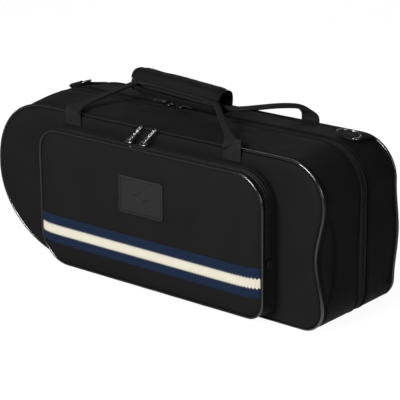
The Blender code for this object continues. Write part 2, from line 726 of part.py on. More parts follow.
def bell_cutter():
    """The space of the bell: its flare turned about the trumpet's long axis."""
    room = BELL_RIM_RADIUS + BELL_CLEARANCE
    profile = [(0.0, BELL_RIM_ROOM), (room, BELL_RIM_ROOM)]
    run = CRADLE_END - BELL_RIM_PLACE + CUT_OVERRUN
    for step in range(BELL_PROFILE_STEPS + 1):
        along = run * (step / BELL_PROFILE_STEPS) ** 2
        flare = BELL_RIM_RADIUS * (1 + along / BELL_FLARE_LENGTH) ** -BELL_FLARE_POWER
        profile.append((flare + BELL_CLEARANCE, -along))
    profile.append((0.0, -run))
    bm = bmesh.new()
    verts = [bm.verts.new((x, 0.0, z)) for x, z in profile]
    for start, end in zip(verts, verts[1:]):
        bm.edges.new((start, end))
    bmesh.ops.spin(
        bm,
        geom=bm.verts[:] + bm.edges[:],
        cent=(0.0, 0.0, 0.0),
        axis=(0.0, 0.0, 1.0),
        angle=2 * pi,
        steps=BELL_TURN_STEPS,
        use_merge=True,
    )
    bmesh.ops.remove_doubles(bm, verts=bm.verts, dist=0.00001)
    turn = Matrix.Translation((BELL_RIM_PLACE, FRONT_DEPTH, BELL_AXIS_HEIGHT)) @ Matrix.Rotation(-pi / 2, 4, "Y")
    bmesh.ops.transform(bm, matrix=turn, verts=bm.verts)
    return add_cutter("bell_space", bm)


def make_insert():
    """The moulded padding of the rear half: a bell cradle and a block for the tubing, valves and accessories."""
    front, back = insert_span()
    inset = GUSSET_THICKNESS + SEAM_GAP
    cradle = plate(case_outline, [(front, inset), (back, inset)])
    trim(cradle, (CRADLE_END, 0.0, 0.0), (1.0, 0.0, 0.0))
    cradle = add_piece("bell_cradle", cradle, "plush_lining")
    cut(cradle, bell_cutter())
    block = plate(case_outline, [(front, inset), (back, inset)])
    trim(block, (CRADLE_END + SEAM_GAP, 0.0, 0.0), (-1.0, 0.0, 0.0))
    block = add_piece("insert_block", block, "plush_lining")
    start = front - CUT_OVERRUN
    trough = round_box(
        (CRADLE_END - TROUGH_CORNER, start, TROUGH_BOTTOM),
        (TROUGH_END, front + TROUGH_DEPTH, TROUGH_TOP),
        TROUGH_CORNER,
        1,
    )
    valves = round_box(
        (VALVE_POCKET_LEFT, start, VALVE_POCKET_BOTTOM),
        (VALVE_POCKET_LEFT + VALVE_POCKET_LENGTH, front + VALVE_POCKET_DEPTH, VALVE_POCKET_TOP),
        BIN_CORNER,
        1,
    )
    bin_space = round_box(
        (BIN_LEFT, start, BIN_BOTTOM), (BIN_RIGHT, front + BIN_DEPTH, BIN_TOP), BIN_CORNER, 1
    )
    for name, bm in (("wrap_trough", trough), ("valve_pocket", valves), ("accessory_bin", bin_space)):
        cut(block, add_cutter(name, bm))
    for number in range(2):
        hole = bmesh.new()
        length = MOUTHPIECE_HOLE_DEPTH + CUT_OVERRUN
        middle = (MOUTHPIECE_FIRST_HOLE + number * MOUTHPIECE_SPACING, start + length / 2, MOUTHPIECE_HOLE_HEIGHT)
        bmesh.ops.create_cone(
            hole,
            cap_ends=True,
            segments=MOUTHPIECE_HOLE_SIDES,
            radius1=MOUTHPIECE_HOLE_RADIUS,
            radius2=MOUTHPIECE_HOLE_RADIUS,
            depth=length,
            matrix=Matrix.Translation(middle) @ Matrix.Rotation(pi / 2, 4, "X"),
        )
        cut(block, add_cutter("mouthpiece_hole", hole))


def make_accessory_lid():
    front = insert_span()[0] - SEAM_GAP
    hinge_height = BIN_TOP + ACCESSORY_LID_MARGIN
    pivot = make_pivot("accessory_lid_hinge", (BIN_LEFT, front - ACCESSORY_LID_THICKNESS, hinge_height))
    low = (BIN_LEFT - ACCESSORY_LID_MARGIN, front - ACCESSORY_LID_THICKNESS, BIN_BOTTOM - ACCESSORY_LID_MARGIN)
    high = (BIN_RIGHT + ACCESSORY_LID_MARGIN, front, hinge_height)
    add_piece("accessory_lid", round_box(low, high, ACCESSORY_LID_CORNER, 1), "plush_lining", pivot)


def make_holding_strap():
    front = insert_span()[0] - SEAM_GAP
    top = TROUGH_TOP + HOLDING_STRAP_OVERLAP
    pivot = make_pivot("holding_strap_hinge", (HOLDING_STRAP_LEFT, front - HOLDING_STRAP_THICKNESS, top))
    low = (HOLDING_STRAP_LEFT, front - HOLDING_STRAP_THICKNESS, TROUGH_BOTTOM - HOLDING_STRAP_OVERLAP)
    high = (HOLDING_STRAP_LEFT + HOLDING_STRAP_WIDTH, front, top)
    add_piece("holding_strap", box(low, high), "black_webbing", pivot)


def make_lid_pad():
    start = PANEL_EDGE_THICKNESS / 2 + BOARD_THICKNESS + 2 * SEAM_GAP
    inset = GUSSET_THICKNESS + SEAM_GAP
    levels = [
        (start, inset),
        (start + LID_PAD_THICKNESS - LID_PAD_ROUNDING, inset),
        (start + LID_PAD_THICKNESS, inset + LID_PAD_ROUNDING),
    ]
    add_piece("lid_pad", plate(case_outline, levels, waist_at), "plush_lining")


def ribbon(stations):
    """A strap lofted through stations of (middle, across, width, thickness)."""
    bm = bmesh.new()
    rows = []
    for index, (middle, across, width, thickness) in enumerate(stations):
        before = stations[max(index - 1, 0)][0]
        after = stations[min(index + 1, len(stations) - 1)][0]
        along = (after - before).normalized()
        side = (across - along * across.dot(along)).normalized() * width / 2
        lift = along.cross(side).normalized() * thickness / 2
        rows.append([bm.verts.new(middle + a * side + b * lift) for a, b in ((-1, -1), (1, -1), (1, 1), (-1, 1))])
    for row, following in zip(rows, rows[1:]):
        for corner in range(4):
            beside = (corner + 1) % 4
            bm.faces.new((row[corner], row[beside], following[beside], following[corner]))
    bm.faces.new(rows[0])
    bm.faces.new(rows[-1])
    return bm


def bezier(start, start_pull, end_pull, end, share):
    rest = 1 - share
    return (
        start * rest**3
        + start_pull * 3 * rest**2 * share
        + end_pull * 3 * rest * share**2
        + end * share**3
    )


def grip_rise(x):
    """How much higher the pitched grip is at a place along it than at its middle."""
    return ((GRIP_LEFT + GRIP_RIGHT) / 2 - x) * tan(radians(GRIP_PITCH))


def strap_leg(seat, run_end, seat_across, rise, back_off):
    """Stations of a handle strap from its flat seat on the panel up to its folded run in the grip.

    The rise and the back-off draw the leg's curve out of the seat and out of the run.
    """
    foot = Vector((seat.x, seat.y, CASE_HEIGHT - STRAP_SEAT_HEIGHT))
    stations = [(foot, seat_across, WEB_WIDTH, WEB_THICKNESS)]
    for step in range(STRAP_STEPS + 1):
        share = step / STRAP_STEPS
        middle = bezier(seat, seat + Vector((0.0, 0.0, rise)), run_end + back_off, run_end, share)
        across = seat_across.lerp(Vector((0.0, -1.0, 0.0)), share)
        folded = min(1.0, step / FOLD_STEPS)
        width = WEB_WIDTH + (FOLDED_WIDTH - WEB_WIDTH) * folded
        thickness = WEB_THICKNESS + (FOLDED_THICKNESS - WEB_THICKNESS) * folded
        stations.append((middle, across, width, thickness))
    return stations


def handle_strap(seat_depth, run_depth, run_height, rise, straight):
    """Stations of one handle strap: seat, leg, run through the grip, leg and seat again.

    A straight leg heads for its seat at once, and another one leaves the grip along its length.
    """
    rim = CASE_HEIGHT + PIPING_RADIUS + WEB_THICKNESS
    toward = 1 if seat_depth > run_depth else -1
    legs = []
    for seat_x, end_x, side in ((STRAP_LEFT, GRIP_LEFT, -1), (STRAP_RIGHT, GRIP_RIGHT, 1)):
        run_end = Vector((end_x + side * WEB_THICKNESS, run_depth, run_height + grip_rise(end_x)))
        across = Vector((side * toward, 0.0, 0.0))
        seat = Vector((seat_x, seat_depth, rim))
        away = seat - run_end
        back_off = away * FRONT_LEG_PULL_SHARE if straight else Vector((away.x / 2, 0.0, 0.0))
        legs.append(strap_leg(seat, run_end, across, rise, back_off))
    return legs[0] + legs[1][::-1]


def make_straps():
    seat = PLATEAU + SEAM_GAP + WEB_THICKNESS / 2
    rear_height = GRIP_HEIGHT_PLACE - REAR_STRAP_DROP
    front_run = GRIP_DEPTH_PLACE - FRONT_STRAP_SHIFT
    front = handle_strap(-seat, front_run, GRIP_HEIGHT_PLACE, FRONT_STRAP_RISE, True)
    add_piece("front_strap", ribbon(front), "black_webbing")
    rear = handle_strap(CASE_DEPTH + seat, GRIP_DEPTH_PLACE, rear_height, REAR_STRAP_RISE, False)
    add_piece("rear_strap", ribbon(rear), "black_webbing")


def grip_arc(start, end):
    """A padded arc of the grip's section, carried along its length."""
    outer = arc(
        (GRIP_DEPTH_PLACE, GRIP_HEIGHT_PLACE), (GRIP_HALF_DEPTH, GRIP_HALF_HEIGHT), start, end, GRIP_ARC_STEPS
    )
    inner = arc(
        (GRIP_DEPTH_PLACE, GRIP_HEIGHT_PLACE),
        (GRIP_HALF_DEPTH - GRIP_THICKNESS, GRIP_HALF_HEIGHT - GRIP_THICKNESS),
        end,
        start,
        GRIP_ARC_STEPS,
    )
    bm = bmesh.new()
    ends = []
    for x in (GRIP_LEFT, GRIP_RIGHT):
        ends.append([bm.verts.new((x, y, z)) for y, z in outer + inner])
        bm.faces.new(ends[-1])
    for side in range(len(ends[0])):
        beside = (side + 1) % len(ends[0])
        bm.faces.new((ends[0][side], ends[0][beside], ends[1][beside], ends[1][side]))
    middle = Vector(((GRIP_LEFT + GRIP_RIGHT) / 2, GRIP_DEPTH_PLACE, GRIP_HEIGHT_PLACE))
    bmesh.ops.rotate(bm, verts=bm.verts, cent=middle, matrix=Matrix.Rotation(radians(GRIP_PITCH), 3, "Y"))
    return bm


def make_grip():
    lip = GRIP_FRONT_LIP_ANGLE - 360
    gap_angle = degrees(2 * SEAM_GAP / GRIP_HALF_DEPTH)
    add_piece("grip_pad", grip_arc(lip, GRIP_FLAP_REAR_ANGLE - gap_angle), "black_nylon")
    rear = radians(GRIP_FLAP_REAR_ANGLE)
    place = (
        (GRIP_LEFT + GRIP_RIGHT) / 2,
        GRIP_DEPTH_PLACE + GRIP_HALF_DEPTH * cos(rear),
        GRIP_HEIGHT_PLACE + GRIP_HALF_HEIGHT * sin(rear),
    )
    pivot = make_pivot("grip_flap_hinge", place)
    add_piece("grip_flap", grip_arc(GRIP_FLAP_REAR_ANGLE, GRIP_FLAP_FRONT_ANGLE), "black_nylon", pivot)


def wall_lift(run_share):
    """How far the rear side wall stands out at a share of the way from its seam to its zip edge."""
    return GUSSET_CROWN * crown_share(run_share)


def wall_run():
    """The start of the rear side wall, from the rear seam, and its length up to its zip edge."""
    start = PIPING_RADIUS + SEAM_GAP
    return start, REAR_DEPTH - ZIP_HALF_WIDTH - start


def seat_share():
    """Share of the rear side wall's run at which a ring's bar sits."""
    start, length = wall_run()
    return (RING_SEAT_DEPTH - start) / length


def shoulder_frame(place):
    """Matrix at a ring's bar: its X along the shoulder, its Y towards the rear, its Z out of the case."""
    if place > CASE_LENGTH / 2:
        centre = CASE_LENGTH - TOP_CORNER_RADIUS
        slope = -(place - centre) / sqrt(TOP_CORNER_RADIUS**2 - (place - centre) ** 2)
        height = CASE_HEIGHT - TOP_CORNER_RADIUS + sqrt(TOP_CORNER_RADIUS**2 - (place - centre) ** 2)
    else:
        upper = CASE_HEIGHT - BELL_END_HEIGHT
        share = (BELL_END_UPPER_REACH - place) / BELL_END_UPPER_REACH
        drop = 1 - share**BELL_END_FULLNESS
        height = BELL_END_HEIGHT + upper * drop ** (1 / BELL_END_FULLNESS)
        slope = upper / BELL_END_UPPER_REACH * share ** (BELL_END_FULLNESS - 1) * drop ** (1 / BELL_END_FULLNESS - 1)
    along = Vector((1.0, 0.0, slope)).normalized()
    out = Vector((-along.z, 0.0, along.x))
    lift = wall_lift(seat_share()) + SEAM_GAP + RING_WIRE_RADIUS + SEAM_GAP + TAB_EYE_WALL
    point = Vector((place, CASE_DEPTH - RING_SEAT_DEPTH, height)) + out * lift
    axes = Matrix((along, (0.0, 1.0, 0.0), out)).transposed().to_4x4()
    return Matrix.Translation(point) @ axes


def ring_curve(name):
    """A D-shaped wire: a straight bar in the tab and a round bow."""
    points = [(-RING_HALF_WIDTH, RING_CORNER), (-RING_HALF_WIDTH + RING_CORNER, 0.0)]
    points += [(RING_HALF_WIDTH - RING_CORNER, 0.0), (RING_HALF_WIDTH, RING_CORNER)]
    bow = RING_REACH - RING_CORNER * 2
    points += arc((0.0, RING_CORNER * 2), (RING_HALF_WIDTH, bow), 0, 180, RING_ARC_STEPS)
    curve = bpy.data.curves.new(name, "CURVE")
    curve.dimensions = "3D"
    curve.bevel_depth = RING_WIRE_RADIUS
    curve.bevel_resolution = 2
    spline = curve.splines.new("POLY")
    spline.points.add(len(points) - 1)
    for point, (x, y) in zip(spline.points, points):
        point.co = (x, y, 0.0, 1.0)
    spline.use_cyclic_u = True
    return curve


def tab_curve(name):
    """Section of a ring's tab: webbing that follows the side wall from its seam to an eye round the ring's bar."""
    hole = RING_WIRE_RADIUS + SEAM_GAP
    eye = hole + TAB_EYE_WALL
    start, length = wall_run()
    upper = []
    lower = []
    for share in (0.0, *GUSSET_STATION_SHARES):
        along = RING_SEAT_DEPTH - start - length * share
        floor = wall_lift(share) - wall_lift(seat_share()) - eye
        lower.append((along, floor))
        upper.append((along, floor + TAB_THICKNESS))
    top = TAB_THICKNESS - eye
    joint_angle = degrees(atan2(top, sqrt(eye**2 - top**2)))
    bow = arc((0.0, 0.0), (eye, eye), -90, joint_angle - 360, TAB_EYE_STEPS)
    outer = lower + bow + upper[::-1]
    curve = bpy.data.curves.new(name, "CURVE")
    curve.dimensions = "2D"
    curve.fill_mode = "BOTH"
    curve.extrude = TAB_WIDTH / 2
    for points in (outer, arc((0.0, 0.0), (hole, hole), 0, 360, TAB_EYE_STEPS)[:-1]):
        spline = curve.splines.new("POLY")
        spline.points.add(len(points) - 1)
        for point, (x, y) in zip(spline.points, points):
            point.co = (x, y, 0.0, 1.0)
        spline.use_cyclic_u = True
    return curve


def make_shoulder_rings():
    for side, place in (("left", LEFT_RING_PLACE), ("right", RIGHT_RING_PLACE)):
        frame = shoulder_frame(place)
        tab = curve_mesh("d_tab_" + side, tab_curve("d_tab_" + side))
        stand = Matrix(((0.0, 0.0, 1.0), (1.0, 0.0, 0.0), (0.0, 1.0, 0.0))).to_4x4()
        bmesh.ops.transform(tab, matrix=frame @ stand, verts=tab.verts)
        add_piece("d_tab_" + side, tab, "black_webbing")
        pivot = make_pivot("d_ring_hinge_" + side, frame.translation)
        ring = add_object("d_ring_" + side, ring_curve("d_ring_" + side), "gunmetal", pivot)
        ring.rotation_euler = frame.to_euler()


def bridge_profile():
    """Side view of a slider's bridge: an arch with room under it for the pull's bar."""
    half = BRIDGE_LENGTH / 2
    foot = SLIDER_THICKNESS / 2
    top = SLIDER_THICKNESS + BRIDGE_HEIGHT
    slope = BRIDGE_CHAMFER
    outer = [(-half, foot), (half, foot), (half, top - slope), (half - slope, top)]
    outer += [(slope - half, top), (-half, top - slope)]
    room_top = top - BRIDGE_BAR
    room_low = SLIDER_THICKNESS + SEAM_GAP
    inner = half - BRIDGE_BAR
    return outer, [(-inner, room_low), (inner, room_low), (inner, room_top), (-inner, room_top)]


def slider_mesh(heading):
    """A zip slider with its underside at Z 0, its travel along X and its bridge turned to the pull's heading."""
    body = box((-SLIDER_LENGTH / 2, -SLIDER_WIDTH / 2, 0.0), (SLIDER_LENGTH / 2, SLIDER_WIDTH / 2, SLIDER_THICKNESS))
    bmesh.ops.bevel(
        body, geom=body.edges[:], offset=SLIDER_EDGE, segments=1, affect="EDGES", profile=0.5, material=-1
    )
    outer, inner = bridge_profile()
    curve = bpy.data.curves.new("bridge", "CURVE")
    curve.dimensions = "2D"
    curve.fill_mode = "BOTH"
    curve.extrude = BRIDGE_WIDTH / 2
    for points in (outer, inner):
        spline = curve.splines.new("POLY")
        spline.points.add(len(points) - 1)
        for point, (x, y) in zip(spline.points, points):
            point.co = (x, y, 0.0, 1.0)
        spline.use_cyclic_u = True
    bridge = curve_mesh("bridge", curve)
    bmesh.ops.rotate(bridge, verts=bridge.verts, matrix=Matrix.Rotation(pi / 2, 3, "X"))
    bmesh.ops.rotate(bridge, verts=bridge.verts, matrix=Matrix.Rotation(radians(heading), 3, "Z"))
    return body, bridge


def join_solids(name, body, bridge, finish, pivot, place):
    """Joins a slider's body and bridge into one solid at its place."""
    bmesh.ops.translate(body, verts=body.verts, vec=place)
    bmesh.ops.translate(bridge, verts=bridge.verts, vec=place)
    piece = add_piece(name, body, finish, pivot)
    bmesh.ops.translate(bridge, verts=bridge.verts, vec=-pivot.location)
    cutter = add_cutter(name + "_bridge", bridge)
    cutter.parent = pivot
    modifier = piece.modifiers.new("bridge", "BOOLEAN")
    modifier.operation = "UNION"
    modifier.solver = "EXACT"
    modifier.object = cutter
    return piece


def pull_curve(name):
    """A flat pull that runs along +X from the bar in its eye."""
    half = PULL_WIDTH / 2
    start = -PULL_BAR / 2
    end = PULL_LENGTH
    outer = [(start, -half)]
    outer += arc((end - half, 0.0), (half, half), -90, 90, PULL_CORNER_STEPS)
    outer += [(start, half)]
    eye = PULL_EYE_WIDTH / 2
    near = PULL_BAR / 2
    far = near + PULL_EYE_LENGTH
    curve = bpy.data.curves.new(name, "CURVE")
    curve.dimensions = "2D"
    curve.fill_mode = "BOTH"
    curve.extrude = PULL_THICKNESS / 2
    for points in (outer, [(near, -eye), (far, -eye), (far, eye), (near, eye)]):
        spline = curve.splines.new("POLY")
        spline.points.add(len(points) - 1)
        for point, (x, y) in zip(spline.points, points):
            point.co = (x, y, 0.0, 1.0)
        spline.use_cyclic_u = True
    return curve


def make_slider(name, place, finish, heading, lean):
    """A slider and its pull; the pull turns about the bar under the slider's bridge.

    The heading turns the pull about Z from +X, and the lean lifts it from lying flat.
    """
    slide = make_pivot(name + "_slide", place)
    body, bridge = slider_mesh(heading)
    join_solids(name, body, bridge, finish, slide, Vector(place))
    bar_height = SLIDER_THICKNESS + (SEAM_GAP + BRIDGE_HEIGHT - BRIDGE_BAR) / 2
    hinge = bpy.data.objects.new(name + "_pull_hinge", None)
    hinge.location = (0.0, 0.0, bar_height)
    hinge.parent = slide
    PARTS.objects.link(hinge)
    pull_name = name.replace("slider", "pull")
    pull = add_object(pull_name, pull_curve(pull_name), finish)
    pull.parent = hinge
    turn = Matrix.Rotation(radians(heading), 3, "Z") @ Matrix.Rotation(radians(-lean), 3, "Y")
    pull.rotation_euler = turn.to_euler()


def make_sliders():
    for name, x, heading in (
        ("main_slider_left", MAIN_SLIDER_LEFT, 180),
        ("main_slider_right", MAIN_SLIDER_RIGHT, 0),
    ):
        make_slider(name, (x, FRONT_DEPTH, MAIN_SLIDER_SEAT), "gunmetal", heading, 0)
    pocket_seat = POCKET_TOP + pocket_flare(-POCKET_ZIP_PLACE) + COIL_RISE + SEAM_GAP
    for name, x in (("pocket_slider_left", POCKET_SLIDER_LEFT), ("pocket_slider_right", POCKET_SLIDER_RIGHT)):
        place = (x, -POCKET_ZIP_PLACE, pocket_seat)
        make_slider(name, place, "bright_metal", POCKET_PULL_HEADING, POCKET_PULL_LEAN)


def stand_on_floor():
    """Moves the case so that the middle of its standing base is the part's origin."""
    bpy.context.view_layer.update()
    corners = []
    for obj in PARTS.objects:
        if obj.type != "EMPTY":
            corners += [obj.matrix_world @ Vector(corner) for corner in obj.bound_box]
    low = Vector([min(corner[axis] for corner in corners) for axis in range(3)])
    high = Vector([max(corner[axis] for corner in corners) for axis in range(3)])
    ORIGIN.location = (-(low.x + high.x) / 2, -(low.y + high.y) / 2, -low.z)


def main():
    make_shell_half("front", 0.0, FRONT_DEPTH - ZIP_HALF_WIDTH)
    make_shell_half("rear", CASE_DEPTH, FRONT_DEPTH + ZIP_HALF_WIDTH)
    make_main_zip()
    flap_pivot = make_pivot("pocket_flap_hinge", (CASE_LENGTH / 2, -POCKET_FACE, POCKET_FOLD_HEIGHT))
    make_pocket(flap_pivot)
    make_stripe()
    make_patch(flap_pivot)
    make_insert()
    make_accessory_lid()
    make_holding_strap()
    make_lid_pad()
    make_straps()
    make_grip()
    make_shoulder_rings()
    make_sliders()
    stand_on_floor()


main()
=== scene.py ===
"""The looks of a soft trumpet case: two zipped halves, a front pocket, a carrying handle and two shoulder rings.

Lengths are metres. The shapes are made in the case's own frame, with X from the bell end, Y from the front
seam to the rear seam and Z up from the bottom of the outline, and settle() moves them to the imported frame.
"""

import logging
from collections.abc import Callable, Sequence
from dataclasses import dataclass, field
from enum import Enum
from functools import lru_cache
from math import copysign, cos, degrees, exp, hypot, pi, radians, sin, sqrt, tan

import bmesh
import bpy
import numpy as np
from mathutils import Matrix, Vector, noise


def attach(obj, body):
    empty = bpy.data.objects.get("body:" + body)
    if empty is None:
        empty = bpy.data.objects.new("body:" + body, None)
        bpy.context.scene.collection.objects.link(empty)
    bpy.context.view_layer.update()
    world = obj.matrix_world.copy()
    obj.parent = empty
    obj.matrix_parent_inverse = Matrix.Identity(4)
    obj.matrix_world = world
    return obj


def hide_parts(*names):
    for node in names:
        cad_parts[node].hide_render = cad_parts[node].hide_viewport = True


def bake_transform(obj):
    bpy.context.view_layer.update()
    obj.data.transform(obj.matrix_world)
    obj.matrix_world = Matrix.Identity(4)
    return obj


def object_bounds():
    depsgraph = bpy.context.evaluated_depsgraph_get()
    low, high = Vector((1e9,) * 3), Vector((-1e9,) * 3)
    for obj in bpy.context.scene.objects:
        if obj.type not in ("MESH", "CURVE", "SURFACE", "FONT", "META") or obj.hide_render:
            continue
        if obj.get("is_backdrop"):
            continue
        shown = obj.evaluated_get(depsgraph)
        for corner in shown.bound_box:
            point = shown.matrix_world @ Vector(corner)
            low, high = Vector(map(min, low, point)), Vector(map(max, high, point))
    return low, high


log = logging.getLogger("trumpet_case")
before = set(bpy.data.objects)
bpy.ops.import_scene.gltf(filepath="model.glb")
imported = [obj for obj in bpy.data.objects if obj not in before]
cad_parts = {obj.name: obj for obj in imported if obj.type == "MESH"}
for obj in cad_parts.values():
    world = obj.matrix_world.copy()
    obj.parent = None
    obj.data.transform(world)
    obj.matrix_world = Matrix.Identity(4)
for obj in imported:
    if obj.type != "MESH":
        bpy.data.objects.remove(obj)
CAD_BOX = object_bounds()

CASE_ORIGIN = Vector((-0.27705, -0.06072, 0.0020))
CLOTH_MAP = "cloth"
CLOSE = 0.000001

Point = tuple[float, float]
Place = Callable[[float, float], Vector]


# Shader graphs


class Field:
    """A shader socket that takes part in Python arithmetic."""

    def __init__(self, graph: "Graph", socket: bpy.types.NodeSocket) -> None:
        """Keeps the graph that the socket belongs to."""
        self.graph = graph
        self.socket = socket

    def maths(self, operation: str, *others: "Field | float", clamp: bool = False) -> "Field":
        """Adds one Math node.

        Args:
            operation: the Math node's operation.
            others: the second and third values.
            clamp: whether the result is held between 0 and 1.

        Returns:
            The node's result.
        """
        settings = {"operation": operation, "use_clamp": clamp}
        return self.graph.field("ShaderNodeMath", settings, dict(enumerate((self, *others))))

    def __add__(self, other: "Field | float") -> "Field":
        """Sum."""
        return self.maths("ADD", other)

    def __radd__(self, other: float) -> "Field":
        """Sum, with the number first."""
        return self.maths("ADD", other)

    def __sub__(self, other: "Field | float") -> "Field":
        """Difference."""
        return self.maths("SUBTRACT", other)

    def __rsub__(self, other: float) -> "Field":
        """Difference from a number."""
        return self.graph.field("ShaderNodeMath", {"operation": "SUBTRACT"}, {0: other, 1: self})

    def __mul__(self, other: "Field | float") -> "Field":
        """Product."""
        return self.maths("MULTIPLY", other)

    def __rmul__(self, other: float) -> "Field":
        """Product, with the number first."""
        return self.maths("MULTIPLY", other)

    def __pow__(self, power: float) -> "Field":
        """Power."""
        return self.maths("POWER", power)

    def above(self, limit: float) -> "Field":
        """1 where the value is over a limit, 0 elsewhere."""
        return self.maths("GREATER_THAN", limit)

    def wave(self, pitch: float) -> "Field":
        """A sine from 0 to 1 that repeats at a pitch."""
        return (self * (2 * pi / pitch)).maths("SINE") * 0.5 + 0.5

    def spread(self, low: float, high: float) -> "Field":
        """The value taken from low..high to 0..1, held there."""
        inputs = {"Value": self, "From Min": low, "From Max": high}
        return self.graph.field("ShaderNodeMapRange", {"clamp": True}, inputs)


class Graph:
    """The node tree of one material."""

    def __init__(self, name: str) -> None:
        """Starts a material with its surface shader.

        Args:
            name: the material's name.
        """
        self.material = bpy.data.materials.new(name)
        self.material.use_nodes = True
        self.tree = self.material.node_tree
        self.shader = self.tree.nodes["Principled BSDF"]

    def node(self, kind: str, settings: dict | None = None, inputs: dict | None = None) -> bpy.types.Node:
        """Adds a node.

        Args:
            kind: the node's type.
            settings: its properties, set first.
            inputs: values, or fields to link, by socket name or index.

        Returns:
            The node.
        """
        made = self.tree.nodes.new(kind)
        for name, value in (settings or {}).items():
            setattr(made, name, value)
        for key, value in (inputs or {}).items():
            self.feed(made.inputs[key], value)
        return made

    def field(self, kind: str, settings: dict | None = None, inputs: dict | None = None, output: int = 0) -> Field:
        """Adds a node and returns one of its outputs as a field."""
        return Field(self, self.node(kind, settings, inputs).outputs[output])

    def feed(self, socket: bpy.types.NodeSocket, value: object) -> None:
        """Links a field to a socket, or sets its value."""
        if isinstance(value, Field):
            self.tree.links.new(value.socket, socket)
        else:
            socket.default_value = value

    def set(self, **inputs: object) -> None:
        """Feeds the surface shader; underscores in the names stand for spaces."""
        for name, value in inputs.items():
            self.feed(self.shader.inputs[name.replace("_", " ")], value)

    def object_place(self, scale: Sequence[float] = (1.0, 1.0, 1.0)) -> Field:
        """Object coordinates, stretched by a scale."""
        place = Field(self, self.node("ShaderNodeTexCoord").outputs["Object"])
        return self.field("ShaderNodeMapping", None, {"Vector": place, "Scale": scale})

    def cloth(self) -> tuple[Field, Field]:
        """The two directions of the cloth's own map, in metres."""
        place = self.field("ShaderNodeUVMap", {"uv_map": CLOTH_MAP})
        parts = self.node("ShaderNodeSeparateXYZ", None, {0: place})
        return Field(self, parts.outputs[0]), Field(self, parts.outputs[1])

    def noise(self, scale: float, detail: float = 2.0, place: Field | None = None, rough: float = 0.5) -> Field:
        """Cloudy noise between 0 and 1.

        Args:
            scale: features to the metre.
            detail: octaves.
            place: where it is read, or None for object coordinates.
            rough: how much the fine octaves count.

        Returns:
            The noise.
        """
        where = place or self.object_place()
        inputs = {"Vector": where, "Scale": scale, "Detail": detail, "Roughness": rough}
        return self.field("ShaderNodeTexNoise", None, inputs)

    def colour(self, factor: "Field | float", low: Sequence[float], high: Sequence[float] | Field) -> Field:
        """Mixes two colours.

        Args:
            factor: 0 for the first, 1 for the second.
            low: the first colour, or a field.
            high: the second colour, or a field.

        Returns:
            The mixed colour.
        """
        ends = [value if isinstance(value, Field) else (*value, 1.0) for value in (low, high)]
        return self.field("ShaderNodeMix", {"data_type": "RGBA"}, {0: factor, 6: ends[0], 7: ends[1]}, 2)

    def bump(self, height: Field, distance: float, strength: float = 1.0) -> Field:
        """A normal from a height field.

        Args:
            height: the height, 0 to 1.
            distance: what a height of 1 stands for, in metres.
            strength: how much of it shows.

        Returns:
            The normal.
        """
        return self.field("ShaderNodeBump", None, {"Height": height, "Distance": distance, "Strength": strength})


# Finishes

Colour = tuple[float, float, float]


@dataclass(frozen=True)
class Finish:
    """A surface finish; its slot is the record's material slot."""

    name: str
    slot: str

    def lay(self, graph: Graph) -> None:
        """Lays the finish on a graph."""
        raise NotImplementedError


@lru_cache(maxsize=None)
def material_of(finish: Finish) -> bpy.types.Material:
    """The material of a finish, made once.

    Args:
        finish: the finish.

    Returns:
        The material.
    """
    graph = Graph(finish.name)
    finish.lay(graph)
    return graph.material


@dataclass(frozen=True)
class RibbedNylon(Finish):
    """Heavy packcloth with a cross rib and lint; its faint folds are painted light and shade in cloudy patches of its
    colour.
    """

    colour: Colour = (0.0046, 0.0044, 0.0045)
    # The lighter colour stands for the weave's own pattern and for painted light on faint folds.
    weave_and_fold_light: Colour = (0.0096, 0.0092, 0.0093)
    rib: float = 0.0013
    thread: float = 0.0009
    depth: float = 0.00022
    sheen: float = 0.012

    def lay(self, graph: Graph) -> None:
        """Ribs along the cloth map; colour that is lighter on the weave and in cloudy patches of painted fold light and
        shade, and roughness that varies over the same patches.
        """
        along, across = graph.cloth()
        wander = graph.noise(160.0, 3.0)
        ribs = (across + wander * 0.0004).wave(self.rib)
        threads = (along + wander * 0.0004).wave(self.thread)
        cloud = graph.noise(14.0, 4.0)
        lint = graph.noise(900.0, 2.0)
        weave = ribs * 0.65 + threads * 0.35
        shade = (weave * 0.45 + cloud * 0.55).spread(0.2, 0.8)
        # Painted light and shade of faint folds: the cloudy patches lighten and darken the colour, along with the
        # weave's own pattern.
        graph.set(Base_Color=graph.colour(shade, self.colour, self.weave_and_fold_light))
        graph.set(Roughness=0.62 + cloud * 0.18 - ribs * 0.06)
        graph.set(Sheen_Weight=self.sheen, Sheen_Roughness=0.45, Sheen_Tint=(0.8, 0.8, 0.85, 1.0))
        graph.set(Specular_IOR_Level=0.07)
        height = weave * 0.8 + lint * 0.2
        graph.set(Normal=graph.bump(height, self.depth))


@dataclass(frozen=True)
class GlossyVinyl(Finish):
    """Extruded vinyl with a fine grain and dull scuffs."""

    colour: Colour = (0.006, 0.006, 0.0065)

    def lay(self, graph: Graph) -> None:
        """A glossy skin whose scuffs are rougher and paler."""
        scuff = graph.noise(55.0, 5.0, rough=0.6).spread(0.58, 0.78)
        grain = graph.noise(1400.0, 2.0)
        graph.set(Base_Color=graph.colour(scuff, self.colour, (0.014, 0.014, 0.015)))
        graph.set(Roughness=0.17 + scuff * 0.22)
        graph.set(Specular_IOR_Level=0.6, Coat_Roughness=0.09)
        graph.set(Coat_Weight=0.9 - scuff * 0.5)
        graph.set(Normal=graph.bump(grain, 0.00002))


